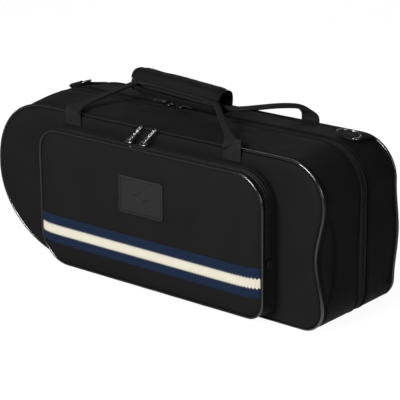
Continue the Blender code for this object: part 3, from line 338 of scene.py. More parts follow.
@dataclass(frozen=True)
class RibWebbing(Finish):
    """Woven strap webbing with cross cords and a tubular edge."""

    colour: Colour = (0.0055, 0.0055, 0.0058)
    lit: Colour = (0.0150, 0.0150, 0.0155)
    cord: float = 0.0019
    row: float = 0.0024

    def lay(self, graph: Graph) -> None:
        """Staggered cords along and across the strap."""
        along, across = graph.cloth()
        cords = along.wave(self.cord)
        rows = across.wave(self.row)
        weave = cords * 0.6 + rows * 0.4
        cloud = graph.noise(40.0, 3.0)
        graph.set(Base_Color=graph.colour((weave * 0.7 + cloud * 0.3).spread(0.2, 0.85), self.colour, self.lit))
        graph.set(Roughness=0.55 + cloud * 0.2)
        graph.set(Sheen_Weight=0.02, Sheen_Roughness=0.4, Specular_IOR_Level=0.12)
        graph.set(Normal=graph.bump(weave + graph.noise(1200.0) * 0.2, 0.0004))


@dataclass(frozen=True)
class ZipTape(Finish):
    """Thin herringbone tape."""

    colour: Colour = (0.0160, 0.0160, 0.0164)

    def lay(self, graph: Graph) -> None:
        """A slanting twill."""
        along, across = graph.cloth()
        twill = (along + across).wave(0.0010)
        cloud = graph.noise(60.0, 3.0)
        graph.set(Base_Color=graph.colour(twill * 0.5 + cloud * 0.5, self.colour, (0.024, 0.024, 0.0245)))
        graph.set(Roughness=0.6 + cloud * 0.2)
        graph.set(Sheen_Weight=0.01, Sheen_Roughness=0.4, Specular_IOR_Level=0.1)
        graph.set(Normal=graph.bump(twill, 0.00015))


@dataclass(frozen=True)
class ZipCoil(Finish):
    """Moulded nylon teeth, worn glossy where they mesh."""

    colour: Colour = (0.0065, 0.0065, 0.0068)

    def lay(self, graph: Graph) -> None:
        """Smooth plastic with wear."""
        wear = graph.noise(220.0, 4.0).spread(0.45, 0.7)
        graph.set(Base_Color=graph.colour(wear, self.colour, (0.0160, 0.0160, 0.0168)))
        graph.set(Roughness=0.50 - wear * 0.12, Specular_IOR_Level=0.16)
        graph.set(Normal=graph.bump(graph.noise(1500.0), 0.00004))


@dataclass(frozen=True)
class Metal(Finish):
    """Plated die-cast metal with hairlines and rubbed edges."""

    colour: Colour = (0.10, 0.10, 0.105)
    rubbed: Colour = (0.30, 0.30, 0.30)
    roughness: float = 0.3

    def lay(self, graph: Graph) -> None:
        """Hairlines in the roughness and rubbed patches in the colour."""
        rub = graph.noise(240.0, 5.0, rough=0.65).spread(0.5, 0.75)
        hairs = graph.noise(90.0, 6.0, graph.object_place((1.0, 14.0, 1.0)), 0.7)
        graph.set(Base_Color=graph.colour(rub, self.colour, self.rubbed))
        graph.set(Metallic=1.0, Specular_IOR_Level=0.5)
        graph.set(Roughness=self.roughness + hairs * 0.16 - rub * 0.05)
        graph.set(Normal=graph.bump(hairs, 0.00003))


@dataclass(frozen=True)
class PressedLeather(Finish):
    """Leather with a pebbled grain and darker creases."""

    colour: Colour = (0.0060, 0.0061, 0.0065)
    raised: Colour = (0.0120, 0.0122, 0.0130)

    def lay(self, graph: Graph) -> None:
        """Pebbles from cells, with pores between them."""
        inputs = {"Vector": graph.object_place(), "Scale": 900.0}
        cells = graph.field("ShaderNodeTexVoronoi", {"feature": "DISTANCE_TO_EDGE"}, inputs)
        grain = cells.spread(0.0, 0.25)
        cloud = graph.noise(90.0, 4.0)
        graph.set(Base_Color=graph.colour((grain * 0.5 + cloud * 0.5).spread(0.2, 0.9), self.colour, self.raised))
        graph.set(Roughness=0.58 - grain * 0.12 + cloud * 0.1)
        graph.set(Specular_IOR_Level=0.3)
        graph.set(Normal=graph.bump(grain, 0.00012))


@dataclass(frozen=True)
class StripedWeave(Finish):
    """A grosgrain band of three stripes; the map's second direction runs across it from 0 to its width."""

    outer: Colour = (0.0040, 0.0135, 0.0400)
    middle: Colour = (0.64, 0.60, 0.49)
    width: float = 0.0395
    first: float = 0.335
    second: float = 0.655

    def lay(self, graph: Graph) -> None:
        """Cross cords, with the stripes' edges stepping over single cords."""
        along, across = graph.cloth()
        cords = along.wave(0.0016)
        yarns = across.wave(0.0009)
        ribs = along.wave(0.0046)
        cloud = graph.noise(70.0, 4.0)
        place = across * (1 / self.width) + (ribs - 0.5) * 0.060
        band = place.above(self.first) * (1 - place.above(self.second))
        shade = (ribs * 0.12 + cords * 0.33 + yarns * 0.2 + cloud * 0.35).spread(0.15, 0.85)
        dark = tuple(part * 0.62 for part in self.outer)
        dim = tuple(part * 0.72 for part in self.middle)
        navy = graph.colour(shade, dark, self.outer)
        cream = graph.colour(shade, dim, self.middle)
        graph.set(Base_Color=graph.colour(band, navy, cream))
        graph.set(Roughness=0.72 + cloud * 0.12)
        graph.set(Sheen_Weight=0.01, Sheen_Roughness=0.4, Specular_IOR_Level=0.15)
        graph.set(Normal=graph.bump(ribs * 0.2 + cords * 0.5 + yarns * 0.3, 0.00040))


@dataclass(frozen=True)
class Plush(Finish):
    """Short pile lining, brushed unevenly."""

    colour: Colour = (0.020, 0.020, 0.024)
    brushed: Colour = (0.050, 0.050, 0.056)

    def lay(self, graph: Graph) -> None:
        """Fine fibres over broad brushed patches."""
        fibre = graph.noise(1100.0, 3.0, rough=0.7)
        brush = graph.noise(24.0, 4.0, graph.object_place((1.0, 2.5, 1.6)))
        graph.set(Base_Color=graph.colour((fibre * 0.5 + brush * 0.7).spread(0.3, 0.9), self.colour, self.brushed))
        graph.set(Roughness=0.85 + brush * 0.12)
        graph.set(Sheen_Weight=0.30, Sheen_Roughness=0.35, Sheen_Tint=(0.6, 0.6, 0.64, 1.0))
        graph.set(Normal=graph.bump(fibre, 0.0005))


@dataclass(frozen=True)
class FibreBoard(Finish):
    """Grey-brown pressed board."""

    def lay(self, graph: Graph) -> None:
        """Speckled fibres."""
        speck = graph.noise(700.0, 5.0, rough=0.8)
        graph.set(Base_Color=graph.colour(speck.spread(0.3, 0.7), (0.14, 0.115, 0.085), (0.24, 0.20, 0.15)))
        graph.set(Roughness=0.8 + speck * 0.15)
        graph.set(Normal=graph.bump(speck, 0.0002))


NYLON = RibbedNylon("ribbed_nylon", "black_nylon")
VINYL = GlossyVinyl("piping_vinyl", "black_piping")
WEBBING = RibWebbing("strap_webbing", "black_webbing")
TAPE = ZipTape("zip_tape", "zip_tape")
COIL = ZipCoil("zip_coil", "zip_tape")
GUNMETAL = Metal("gunmetal_plate", "gunmetal", (0.034, 0.034, 0.036), (0.12, 0.12, 0.12), 0.27)
RING_METAL = Metal("polished_gunmetal", "gunmetal", (0.22, 0.22, 0.22), (0.50, 0.50, 0.49), 0.18)
NICKEL = Metal("satin_nickel", "bright_metal", (0.30, 0.30, 0.305), (0.58, 0.58, 0.58), 0.20)
LEATHER = PressedLeather("pressed_leather", "embossed_leather")
STRIPES = StripedWeave("striped_grosgrain", "stripe_webbing")
PLUSH = Plush("plush_pile", "plush_lining")
BOARD = FibreBoard("fibre_board", "board")


class Body(Enum):
    """The moving bodies that pieces ride on."""

    BASE = "base"
    LID = "lid"
    FLAP = "pocket_flap"


@dataclass(frozen=True)
class Fold:
    """A bend between two bodies, given in the case's own frame."""

    first: str
    second: str
    start: Vector
    end: Vector


# Shapes


def lay_cloth(bm: bmesh.types.BMesh, spot: Callable[[Vector], Point]) -> None:
    """Lays the cloth map, whose place at each corner is a function of the corner's own place."""
    layer = bm.loops.layers.uv.get(CLOTH_MAP) or bm.loops.layers.uv.new(CLOTH_MAP)
    for face in bm.faces:
        for loop in face.loops:
            loop[layer].uv = spot(loop.vert.co)


def flat_cloth(bm: bmesh.types.BMesh) -> None:
    """Lays the cloth map flat on X and Z, as cloth cut from one sheet."""
    lay_cloth(bm, lambda spot: (spot.x, spot.z))


def join(bm: bmesh.types.BMesh, other: bmesh.types.BMesh) -> None:
    """Adds the faces of another mesh, which is used up.

    Args:
        bm: the mesh that is added to.
        other: the mesh that is added and then freed.
    """
    mesh = bpy.data.meshes.new("joined")
    other.to_mesh(mesh)
    other.free()
    bm.from_mesh(mesh)
    bpy.data.meshes.remove(mesh)


def finished(holder: bpy.types.Object) -> bmesh.types.BMesh:
    """The mesh that an object's curve or modifiers make; the object is removed.

    Args:
        holder: the object, in no collection yet.

    Returns:
        The mesh.
    """
    bpy.context.scene.collection.objects.link(holder)
    made = bpy.data.meshes.new_from_object(holder.evaluated_get(bpy.context.evaluated_depsgraph_get()))
    bpy.data.objects.remove(holder)
    bm = bmesh.new()
    bm.from_mesh(made)
    bpy.data.meshes.remove(made)
    return bm


def block(size: Sequence[float], middle: Vector) -> bmesh.types.BMesh:
    """A box of a size about a place.

    Args:
        size: its size along X, Y and Z.
        middle: the place of its middle.

    Returns:
        The mesh.
    """
    bm = bmesh.new()
    bmesh.ops.create_cube(bm, size=1.0, matrix=Matrix.Translation(middle) @ Matrix.Diagonal((*size, 1.0)))
    return bm


def round_off(bm: bmesh.types.BMesh, edges: Sequence[bmesh.types.BMEdge], offset: float, segments: int) -> None:
    """Rounds edges."""
    bmesh.ops.bevel(bm, geom=edges, offset=offset, segments=segments, affect="EDGES", profile=0.5, material=-1)


def both_faces(shares: Sequence[float]) -> list[tuple[float, int]]:
    """A strap's closed section: along its face and back along its other face."""
    section = [(share, 1) for share in shares] + [(share, -1) for share in shares[::-1]]
    return [*section, section[0]]


def sheet(
    columns: int, fronts: Sequence[float], backs: Sequence[float], medial: tuple, edge: Callable, skin: Callable
) -> bmesh.types.BMesh:
    """A flat sheet inside a rim, closed along a line in its middle and carried on behind itself.

    Args:
        columns: how many faces it has round the rim.
        fronts: its front rows' shares of the way from the rim to the line.
        backs: the same for its rows behind.
        medial: the line's two ends along X, and its height.
        edge: the sheet's edge, X and Z, for a turn round the rim.
        skin: the depth of a point from its X, its Z, its distance from the edge and whether it is behind.

    Returns:
        The sheet, with its cloth map.
    """
    ends, height = medial
    rows = [(share, True) for share in backs] + [(share, False) for share in fronts]

    def place(u: float, v: float) -> Vector:
        """A point on the sheet; the line is followed the same way out and back."""
        share, behind = rows[round(v * (len(rows) - 1))]
        edge_x, edge_z = edge(u)
        along = 2 * u if u <= 0.5 else 2 - 2 * u
        x = between(edge_x, between(*ends, ease((along - 0.12) / 0.76)), share)
        z = between(edge_z, height, share)
        return Vector((x, skin(x, z, hypot(x - edge_x, z - edge_z), behind), z))

    bm = wrap(columns, len(rows) - 1, place)
    flat_cloth(bm)
    return bm


def wrap(columns: int, rows: int, place: Place, cloth: Point = (1.0, 1.0)) -> bmesh.types.BMesh:
    """A grid whose every vertex is put where place(u, v) says, with its seams closed.

    Args:
        columns: faces along u.
        rows: faces along v.
        place: the vertex's place for u and v from 0 to 1.
        cloth: the size of the cloth map along u and v, in metres.

    Returns:
        The mesh.
    """
    bm = bmesh.new()
    bmesh.ops.create_grid(bm, x_segments=columns, y_segments=rows, size=0.5)
    lay_cloth(bm, lambda spot: ((spot.x + 0.5) * cloth[0], (spot.y + 0.5) * cloth[1]))
    for vert in bm.verts:
        vert.co = place(vert.co.x + 0.5, vert.co.y + 0.5)
    bmesh.ops.remove_doubles(bm, verts=bm.verts, dist=CLOSE)
    return bm


def close_ends(bm: bmesh.types.BMesh) -> bmesh.types.BMesh:
    """Closes every open end with one face."""
    bmesh.ops.holes_fill(bm, edges=[edge for edge in bm.edges if edge.is_boundary], sides=0)
    return bm


def ease(share: float) -> float:
    """An even ease from 0 to 1."""
    share = min(1.0, max(0.0, share))
    return share * share * (3 - 2 * share)


def between(low: float, high: float, share: float) -> float:
    """The number at a share of the way between two."""
    return low + (high - low) * share


def arc(centre: Point, radii: Point, start: float, end: float, steps: int, fullness: float = 2.0) -> list[Point]:
    """Points of an elliptic arc.

    Args:
        centre: its centre.
        radii: its two half axes.
        start: its first angle, in degrees from the first axis.
        end: its last angle.
        steps: how many chords.
        fullness: over 2 it swells towards the corner of its box.

    Returns:
        The points, both ends included.
    """
    points = []
    for step in range(steps + 1):
        angle = radians(start + (end - start) * step / steps)
        across = copysign(abs(cos(angle)) ** (2 / fullness), cos(angle))
        up = copysign(abs(sin(angle)) ** (2 / fullness), sin(angle))
        points.append((centre[0] + radii[0] * across, centre[1] + radii[1] * up))
    return points


class Rim:
    """A closed outline walked from its left tip along the bottom to its right side and back over the top."""

    def __init__(self, outline: Callable[[float], list[Point]], middle: float, probe: float = 0.001) -> None:
        """Measures an outline.

        Args:
            outline: the outline's points at an inset, anticlockwise.
            middle: the height that splits its two ends.
            probe: the inset that finds its outward direction.
        """
        base = np.array(outline(0.0))
        out = (np.array(outline(-probe)) - base) / probe
        table = np.hstack([base, out])
        left = min(range(len(base)), key=lambda index: base[index][0] + abs(base[index][1] - middle) * 0.001)
        table = np.roll(table, -left, axis=0)
        table = np.vstack([table, table[:1]])
        right = int(np.argmax(table[:, 0] - np.abs(table[:, 1] - middle) * 0.001))
        lengths = np.concatenate([[0.0], np.cumsum(np.hypot(*np.diff(table[:, :2], axis=0).T))])
        self.length = float(lengths[-1])
        self.turns = np.where(
            lengths <= lengths[right],
            0.5 * lengths / lengths[right],
            0.5 + 0.5 * (lengths - lengths[right]) / (lengths[-1] - lengths[right]),
        )
        self.table = table

    def at(self, turn: float) -> tuple[float, float, float, float]:
        """Place and outward direction at a turn.

        Args:
            turn: the share of the way round; whole turns are dropped.

        Returns:
            x, z and the outward direction's x and z.
        """
        turn = turn % 1.0 if not 0.0 <= turn <= 1.0 else turn
        found = [float(np.interp(turn, self.turns, column)) for column in self.table.T]
        size = hypot(found[2], found[3])
        return found[0], found[1], found[2] / size, found[3] / size

    def turn_of(self, x: float, z: float) -> float:
        """The turn of the outline's point that is nearest to a place.

        Args:
            x: the place along X.
            z: the place along Z.

        Returns:
            The turn, from 0 to 1.
        """
        fine = np.linspace(0.0, 1.0, 4001)
        xs = np.interp(fine, self.turns, self.table[:, 0])
        zs = np.interp(fine, self.turns, self.table[:, 1])
        return float(fine[np.argmin(np.hypot(xs - x, zs - z))])


def ripple(place: Vector, size: float, amount: float) -> float:
    """A smooth unevenness of sewn cloth.

    Args:
        place: where it is read.
        size: the length of one ripple.
        amount: its most height.

    Returns:
        The height.
    """
    return noise.noise(place / size) * amount


def settle(
    name: str,
    bm: bmesh.types.BMesh,
    finish: Finish,
    carrier: Body | str | Fold,
    nodes: Sequence[str] = (),
    crease: float = 40.0,
) -> bpy.types.Object:
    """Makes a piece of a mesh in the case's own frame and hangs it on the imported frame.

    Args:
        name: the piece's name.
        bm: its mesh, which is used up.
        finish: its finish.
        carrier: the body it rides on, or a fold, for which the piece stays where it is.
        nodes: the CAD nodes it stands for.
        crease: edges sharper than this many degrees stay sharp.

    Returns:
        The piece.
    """
    bmesh.ops.recalc_face_normals(bm, faces=bm.faces)
    bmesh.ops.translate(bm, verts=bm.verts, vec=CASE_ORIGIN)
    mesh = bpy.data.meshes.new(name)
    bm.to_mesh(mesh)
    bm.free()
    mesh.shade_smooth()
    mesh.set_sharp_from_angle(angle=radians(crease))
    piece = bpy.data.objects.new(name, mesh)
    bpy.context.scene.collection.objects.link(piece)
    mesh.materials.append(material_of(finish))
    return hang(piece, finish, carrier, nodes)


def hang(piece: bpy.types.Object, finish: Finish, carrier: Body | str | Fold, nodes: Sequence[str]) -> bpy.types.Object:
    """Hangs a finished piece on its body, or leaves it where it is for a fold, and reports it.

    Args:
        piece: the piece.
        finish: not used.
        carrier: the body it rides on, or a fold, for which the piece stays where it is.
        nodes: the CAD nodes it stands for.

    Returns:
        The piece.
    """
    if isinstance(carrier, Fold):
        start, end = carrier.start + CASE_ORIGIN, carrier.end + CASE_ORIGIN
        tuple(start)
        tuple(end)
        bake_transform(piece)
    else:
        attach(piece, carrier.value if isinstance(carrier, Body) else carrier)
    if nodes:
        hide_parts(*nodes)
    log.info("%s: %d faces", piece.name, len(piece.data.polygons))
    return piece


# The case's outline and padded walls


@dataclass(frozen=True)
class CaseShape:
    """The outline of the case, its waist and the crown of its side walls."""

    length: float = 0.5550
    height: float = 0.2135
    bell_height: float = 0.1170
    upper_reach: float = 0.0950
    lower_reach: float = 0.1450
    fullness: float = 2.25
    top_corner: float = 0.0520
    bottom_corner: float = 0.0280
    waist: float = 0.0110
    belly: float = 0.0050
    front_depth: float = 0.0820
    depth: float = 0.1540
    crown: float = 0.0075
    end_share: float = 0.45
    end_length: float = 0.0600
    standing: float = 0.0020
    standing_height: float = 0.0400
    seam: float = 0.0023

    def outline(self, inset: float) -> list[Point]:
        """The outline without its waist.

        Args:
            inset: how far inside it runs.

        Returns:
            The points, anticlockwise seen from the front.
        """
        low, top = self.bottom_corner, self.top_corner
        points = [(self.lower_reach, inset)]
        points += arc((self.length - low, low), (low - inset, low - inset), -90, 0, 24)
        for step in range(1, 24):
            points.append((self.length - inset, between(low, self.height - top, step / 24)))
        points += arc((self.length - top, self.height - top), (top - inset, top - inset), 0, 90, 32)
        upper = self.height - self.bell_height
        radii = (self.upper_reach - inset, upper - inset)
        points += arc((self.upper_reach, self.bell_height), radii, 90, 180, 80, self.fullness)
        radii = (self.lower_reach - inset, self.bell_height - inset)
        return points + arc((self.lower_reach, self.bell_height), radii, 180, 270, 64)[1:-1]

    def draw_in(self, depth: float, x: float, z: float) -> float:
        """How far the right end is drawn in at a depth.

        Args:
            depth: the distance behind the front seam.
            x: the outline's place along the case.
            z: its height.

        Returns:
            The distance towards the bell end.
        """
        share = (z - self.bottom_corner) / (self.height - self.top_corner - self.bottom_corner)
        if x < self.length - self.top_corner or not 0 < share < 1:
            return 0.0
        if depth < self.front_depth:
            most = self.waist * (1 - depth / self.front_depth)
        else:
            most = -self.belly * (depth - self.front_depth) / (self.depth - self.front_depth)
        return most * sin(pi * share) ** 2

    def lift(self, share: float, x: float, z: float) -> float:
        """How far the side wall stands out at a share of its crown.

        Args:
            share: the share of the crown.
            x: the place along X.
            z: the place along Z.

        Returns:
            The height.
        """
        standing = 1 - ease(z / self.standing_height)
        end = ease((x - self.length + self.end_length) / self.end_length)
        return self.standing * standing + share * self.crown * (1 - end * (1 - self.end_share)) * (1 - standing)


SHAPE = CaseShape()
HEM_WIDTH = 0.0030
HEM_RISE = 0.0005
HEM_GROOVE = 0.0015
HEM_GROOVE_REACH = 0.0009
HEM_STEPS = (0.0100, 0.0056, 0.0042, 0.0036, 0.0030, 0.0025, 0.0020, 0.0014, 0.0008, 0.0003, 0.0)
CASE_RIM = Rim(SHAPE.outline, SHAPE.bell_height)


def on_wall(turn: float, depth: float, proud: float, crown_share: float = 0.0) -> Vector:
    """A point on or over the case's side wall.

    Args:
        turn: the share of the way round the case.
        depth: the distance behind the front seam.
        proud: how far outside the outline it lies.
        crown_share: the share of the wall's crown that is added.

    Returns:
        The point.
    """
    x, z, out_x, out_z = CASE_RIM.at(turn)
    away = proud + (SHAPE.lift(crown_share, x, z) if crown_share else 0.0)
    return Vector((x + out_x * away - SHAPE.draw_in(depth, x, z), depth, z + out_z * away))


def hem_rise(reach: float) -> float:
    """How far a turned hem stands out at a distance from its edge, with its stitches in a groove."""
    bulge = HEM_RISE * sin(pi * reach / HEM_WIDTH) ** 0.7 if 0 < reach < HEM_WIDTH else 0.0
    return bulge - HEM_GROOVE * max(0.0, 1 - abs(reach - HEM_WIDTH) / HEM_GROOVE_REACH)


def rise_of(run_share: float) -> float:
    """Share of the crown that a side wall reaches at a share of its run."""
    return 1 - (1 - run_share) ** 2


@dataclass
class ShellHalf:
    """One half of the case: its padded cover, padded side wall and piping."""

    name: str
    body: Body
    seam_depth: float
    zip_depth: float
    columns: int = 520
    piping_radius: float = 0.0020
    wall_thickness: float = 0.0060
    hem: float = 0.0013
    cover_edge: float = 0.0010
    cover_crown: float = 0.0030
    medial: tuple[float, float] = (0.105, 0.455)
    medial_height: float = 0.1060
    near_runs: tuple[float, ...] = (0, 0.02, 0.05, 0.09, 0.13, 0.17)
    middle_runs: tuple[float, ...] = tuple(0.21 + 0.03 * step for step in range(12))
    far_runs: tuple[float, ...] = (0.62, 0.70, 0.78)
    seam_groove: float = 0.0012
    seam_place: float = 0.0050
    seam_reach: float = 0.0011
    seam_steps: tuple[float, ...] = (0.0028, 0.0036, 0.0043, 0.0050, 0.0057, 0.0064, 0.0072)
    foot_sink: float = 0.0011
    foot_height: float = 0.0120
    crease_place: float = 0.0290
    crease_reach: float = 0.0030
    crease_depth: float = 0.0042
    crease_bulge: float = 0.0030
    crease_curve: float = 0.8
    crease_ends: Point = (0.20, 0.25)
    wall_swells: tuple[Point, Point] = ((0.055, 0.0020), (0.021, 0.0006))
    wall_reach: float = 0.012
    pucker: Point = (0.011, 0.0003)
    pucker_height: float = 0.02
    cover_bend: float = 0.0035
    cover_swell: Point = (0.09, 0.0009)
    cover_reach: float = 0.04

    @property
    def toward(self) -> int:
        """The sense of depth from the seam to the zip."""
        return 1 if self.zip_depth > self.seam_depth else -1

    def build(self) -> None:
        """Makes the half's pieces."""
        settle(self.name + "_cover", self.cover(), NYLON, self.body, [self.name + "_panel"])
        settle(self.name + "_wall", self.wall(), NYLON, self.body, [self.name + "_gusset"])
        settle(self.name + "_welt", self.welt(), VINYL, self.body, [self.name + "_piping"])
        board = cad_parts[self.name + "_board"]
        board.data.materials.clear()
        board.data.materials.append(material_of(BOARD))

    def welt(self) -> bmesh.types.BMesh:
        """The vinyl piping, a cord in a skin that rises and sinks a little between its stitches."""

        def place(u: float, v: float) -> Vector:
            """A point on the piping's skin."""
            centre = on_wall(u, self.seam_depth, 0.0)
            _, z, out_x, out_z = CASE_RIM.at(u)
            out = Vector((out_x, 0.0, out_z))
            angle = 2 * pi * v
            radius = self.piping_radius * between(0.78, 1.0, ease(z / 0.03))
            radius += ripple(centre + out * self.toward, 0.019, 0.00018)
            return centre + out * (radius * cos(angle)) + Vector((0.0, radius * sin(angle), 0.0))

        return wrap(self.columns, 14, place, (CASE_RIM.length, 2 * pi * self.piping_radius))

    def wall(self) -> bmesh.types.BMesh:
        """The padded side wall: an arch of cloth with a turned hem along the zip, over its foam."""
        start = self.seam_depth + self.toward * SHAPE.seam
        length = abs(self.zip_depth - start)
        shares = {*self.near_runs, *self.middle_runs, *self.far_runs}
        shares |= {step / length for step in self.seam_steps} | {1 - step / length for step in HEM_STEPS}
        stations = [(share, 0.0) for share in sorted(shares)]
        stations += [(1.0, -self.hem * 0.4), (1.0, -self.hem), (0.96, -self.wall_thickness)]
        stations += [(0.5, -self.wall_thickness), (0.02, -self.wall_thickness), (0.0, -self.hem), (0.0, 0.0)]

        def place(u: float, v: float) -> Vector:
            """A point on the wall's skin."""
            share, sink = stations[round(v * (len(stations) - 1))]
            depth = start + self.toward * length * share
            reach = min(share * length, (1 - share) * length)
            x, z, out_x, out_z = CASE_RIM.at(u)
            hem = 0.0 if sink else hem_rise((1 - share) * length)
            proud = sink + hem - self.foot_sink * (1 - ease(z / self.foot_height))
            if not sink:
                proud -= self.seam_groove * exp(-(((share * length - self.seam_place) / self.seam_reach) ** 2))
            height = (z - SHAPE.bottom_corner) / (SHAPE.height - SHAPE.top_corner - SHAPE.bottom_corner)
            if self.toward > 0 and not sink and x > SHAPE.length / 2 and 0 < height < 1:
                middle = self.crease_place * sin(pi * height) ** self.crease_curve
                crease = exp(-(((share * length - middle) / self.crease_reach) ** 2))
                bulge = self.crease_bulge * sin(pi * min(1.0, share * length / max(middle, 0.001)))
                fade = ease(height / self.crease_ends[0]), ease((1 - height) / self.crease_ends[1])
                proud += (bulge - self.crease_depth * crease) * fade[0] * fade[1]
            point = on_wall(u, depth, proud, rise_of(share))
            if sink:
                return point
            loose = ease(reach / self.wall_reach) * ease(z / SHAPE.standing_height)
            wide, fine = self.wall_swells
            swell = ripple(point + Vector((0, 0.3, 0)), *wide) + ripple(point, *fine)
            pucker = ripple(Vector((u * CASE_RIM.length, share, 3.0)), *self.pucker) * ease(z / self.pucker_height)
            return point + Vector((out_x, 0.0, out_z)) * (swell * loose + pucker * (1 - loose))

        return wrap(self.columns, len(stations) - 1, place, (CASE_RIM.length, 2 * length))

    def cover(self) -> bmesh.types.BMesh:
        """The flat cover, crowned at its edge and closed along a line in its middle."""
        fronts = [(step / 20) ** 1.7 for step in range(21)]

        def edge(turn: float) -> Point:
            """The cover's edge at a turn."""
            spot = on_wall(turn, self.seam_depth, -SHAPE.seam)
            return spot.x, spot.z

        def skin(x: float, z: float, reach: float, behind: bool) -> float:
            """The depth of a point on the cover."""
            if behind:
                return self.seam_depth + self.toward * self.cover_edge
            rise = self.cover_edge + self.cover_crown * (1 - exp(-reach / self.cover_bend))
            rise += ripple(Vector((x, 0.7, z)), *self.cover_swell) * ease(reach / self.cover_reach)
            return self.seam_depth - self.toward * rise

        medial = (self.medial, self.medial_height)
        return sheet(self.columns, fronts, [1.0, 0.5, 0.12, 0.02], medial, edge, skin)


@dataclass(frozen=True)
class Stitching:
    """A row of thread stitches sunk into cloth."""

    pitch: float = 0.0032
    length: float = 0.0024
    thickness: float = 0.00042

    def row(self, points: Sequence[Vector], normals: Sequence[Vector]) -> bmesh.types.BMesh:
        """Sews along a line.

        Args:
            points: the line's points, evenly spaced at the pitch.
            normals: the cloth's outward direction at each.

        Returns:
            The stitches as one mesh.
        """
        bm = bmesh.new()
        for point, following, normal in zip(points, points[1:], normals):
            along = (following - point).normalized()
            up = (normal - along * normal.dot(along)).normalized()
            axes = Matrix((along, up.cross(along), up)).transposed()
            size = Matrix.Diagonal((self.length / 2, self.thickness / 2, self.thickness / 2))
            matrix = Matrix.Translation((point + following) / 2) @ (axes @ size).to_4x4()
            bmesh.ops.create_icosphere(bm, subdivisions=1, radius=1.0, matrix=matrix)
        return bm


THREAD = Stitching()
TAPE_GAP = 0.0001
COIL_PITCH = 0.0016


def coil(length: float, shape: Sequence[float], toward: int, on: Callable) -> bmesh.types.BMesh:
    """The coil of one side of a zip, its turns rising and sinking along it.

    Args:
        length: the zip's length.
        shape: the coil's width, its height and its distance from the zip's middle.
        toward: which side of the middle it is on; the two sides' turns alternate.
        on: the place for a share of the length, a distance from the middle and a height.

    Returns:
        The coil.
    """
    width, height, split = shape
    half, count = width / 2, round(length / COIL_PITCH)
    shift = 0.0 if toward < 0 else 0.5

    def place(u: float, v: float) -> Vector:
        """A point on the coil's skin."""
        angle = 2 * pi * v
        bulge = 0.72 + 0.28 * cos(2 * pi * (u * count + shift))
        across = half + split + half * cos(angle) * 0.96
        return on(u, across, max(0.0, sin(angle)) * height * bulge)

    return close_ends(wrap(count * 4, 6, place, (length, width)))


def hem_stitches(rim: Rim, first: float, last: float, on: Callable[[float], Vector]) -> bmesh.types.BMesh:
    """The topstitching of a hem between two turns of a rim, where on() puts it.

    Args:
        rim: the rim that the hem follows.
        first: the turn where it starts.
        last: the turn where it ends.
        on: the place of a stitch for a turn.

    Returns:
        The mesh.
    """
    count = round((last - first) * rim.length / THREAD.pitch)
    turns = [between(first, last, step / count) for step in range(count + 1)]
    normals = [Vector((rim.at(turn)[2], 0.0, rim.at(turn)[3])) for turn in turns]
    return THREAD.row([on(turn) for turn in turns], normals)


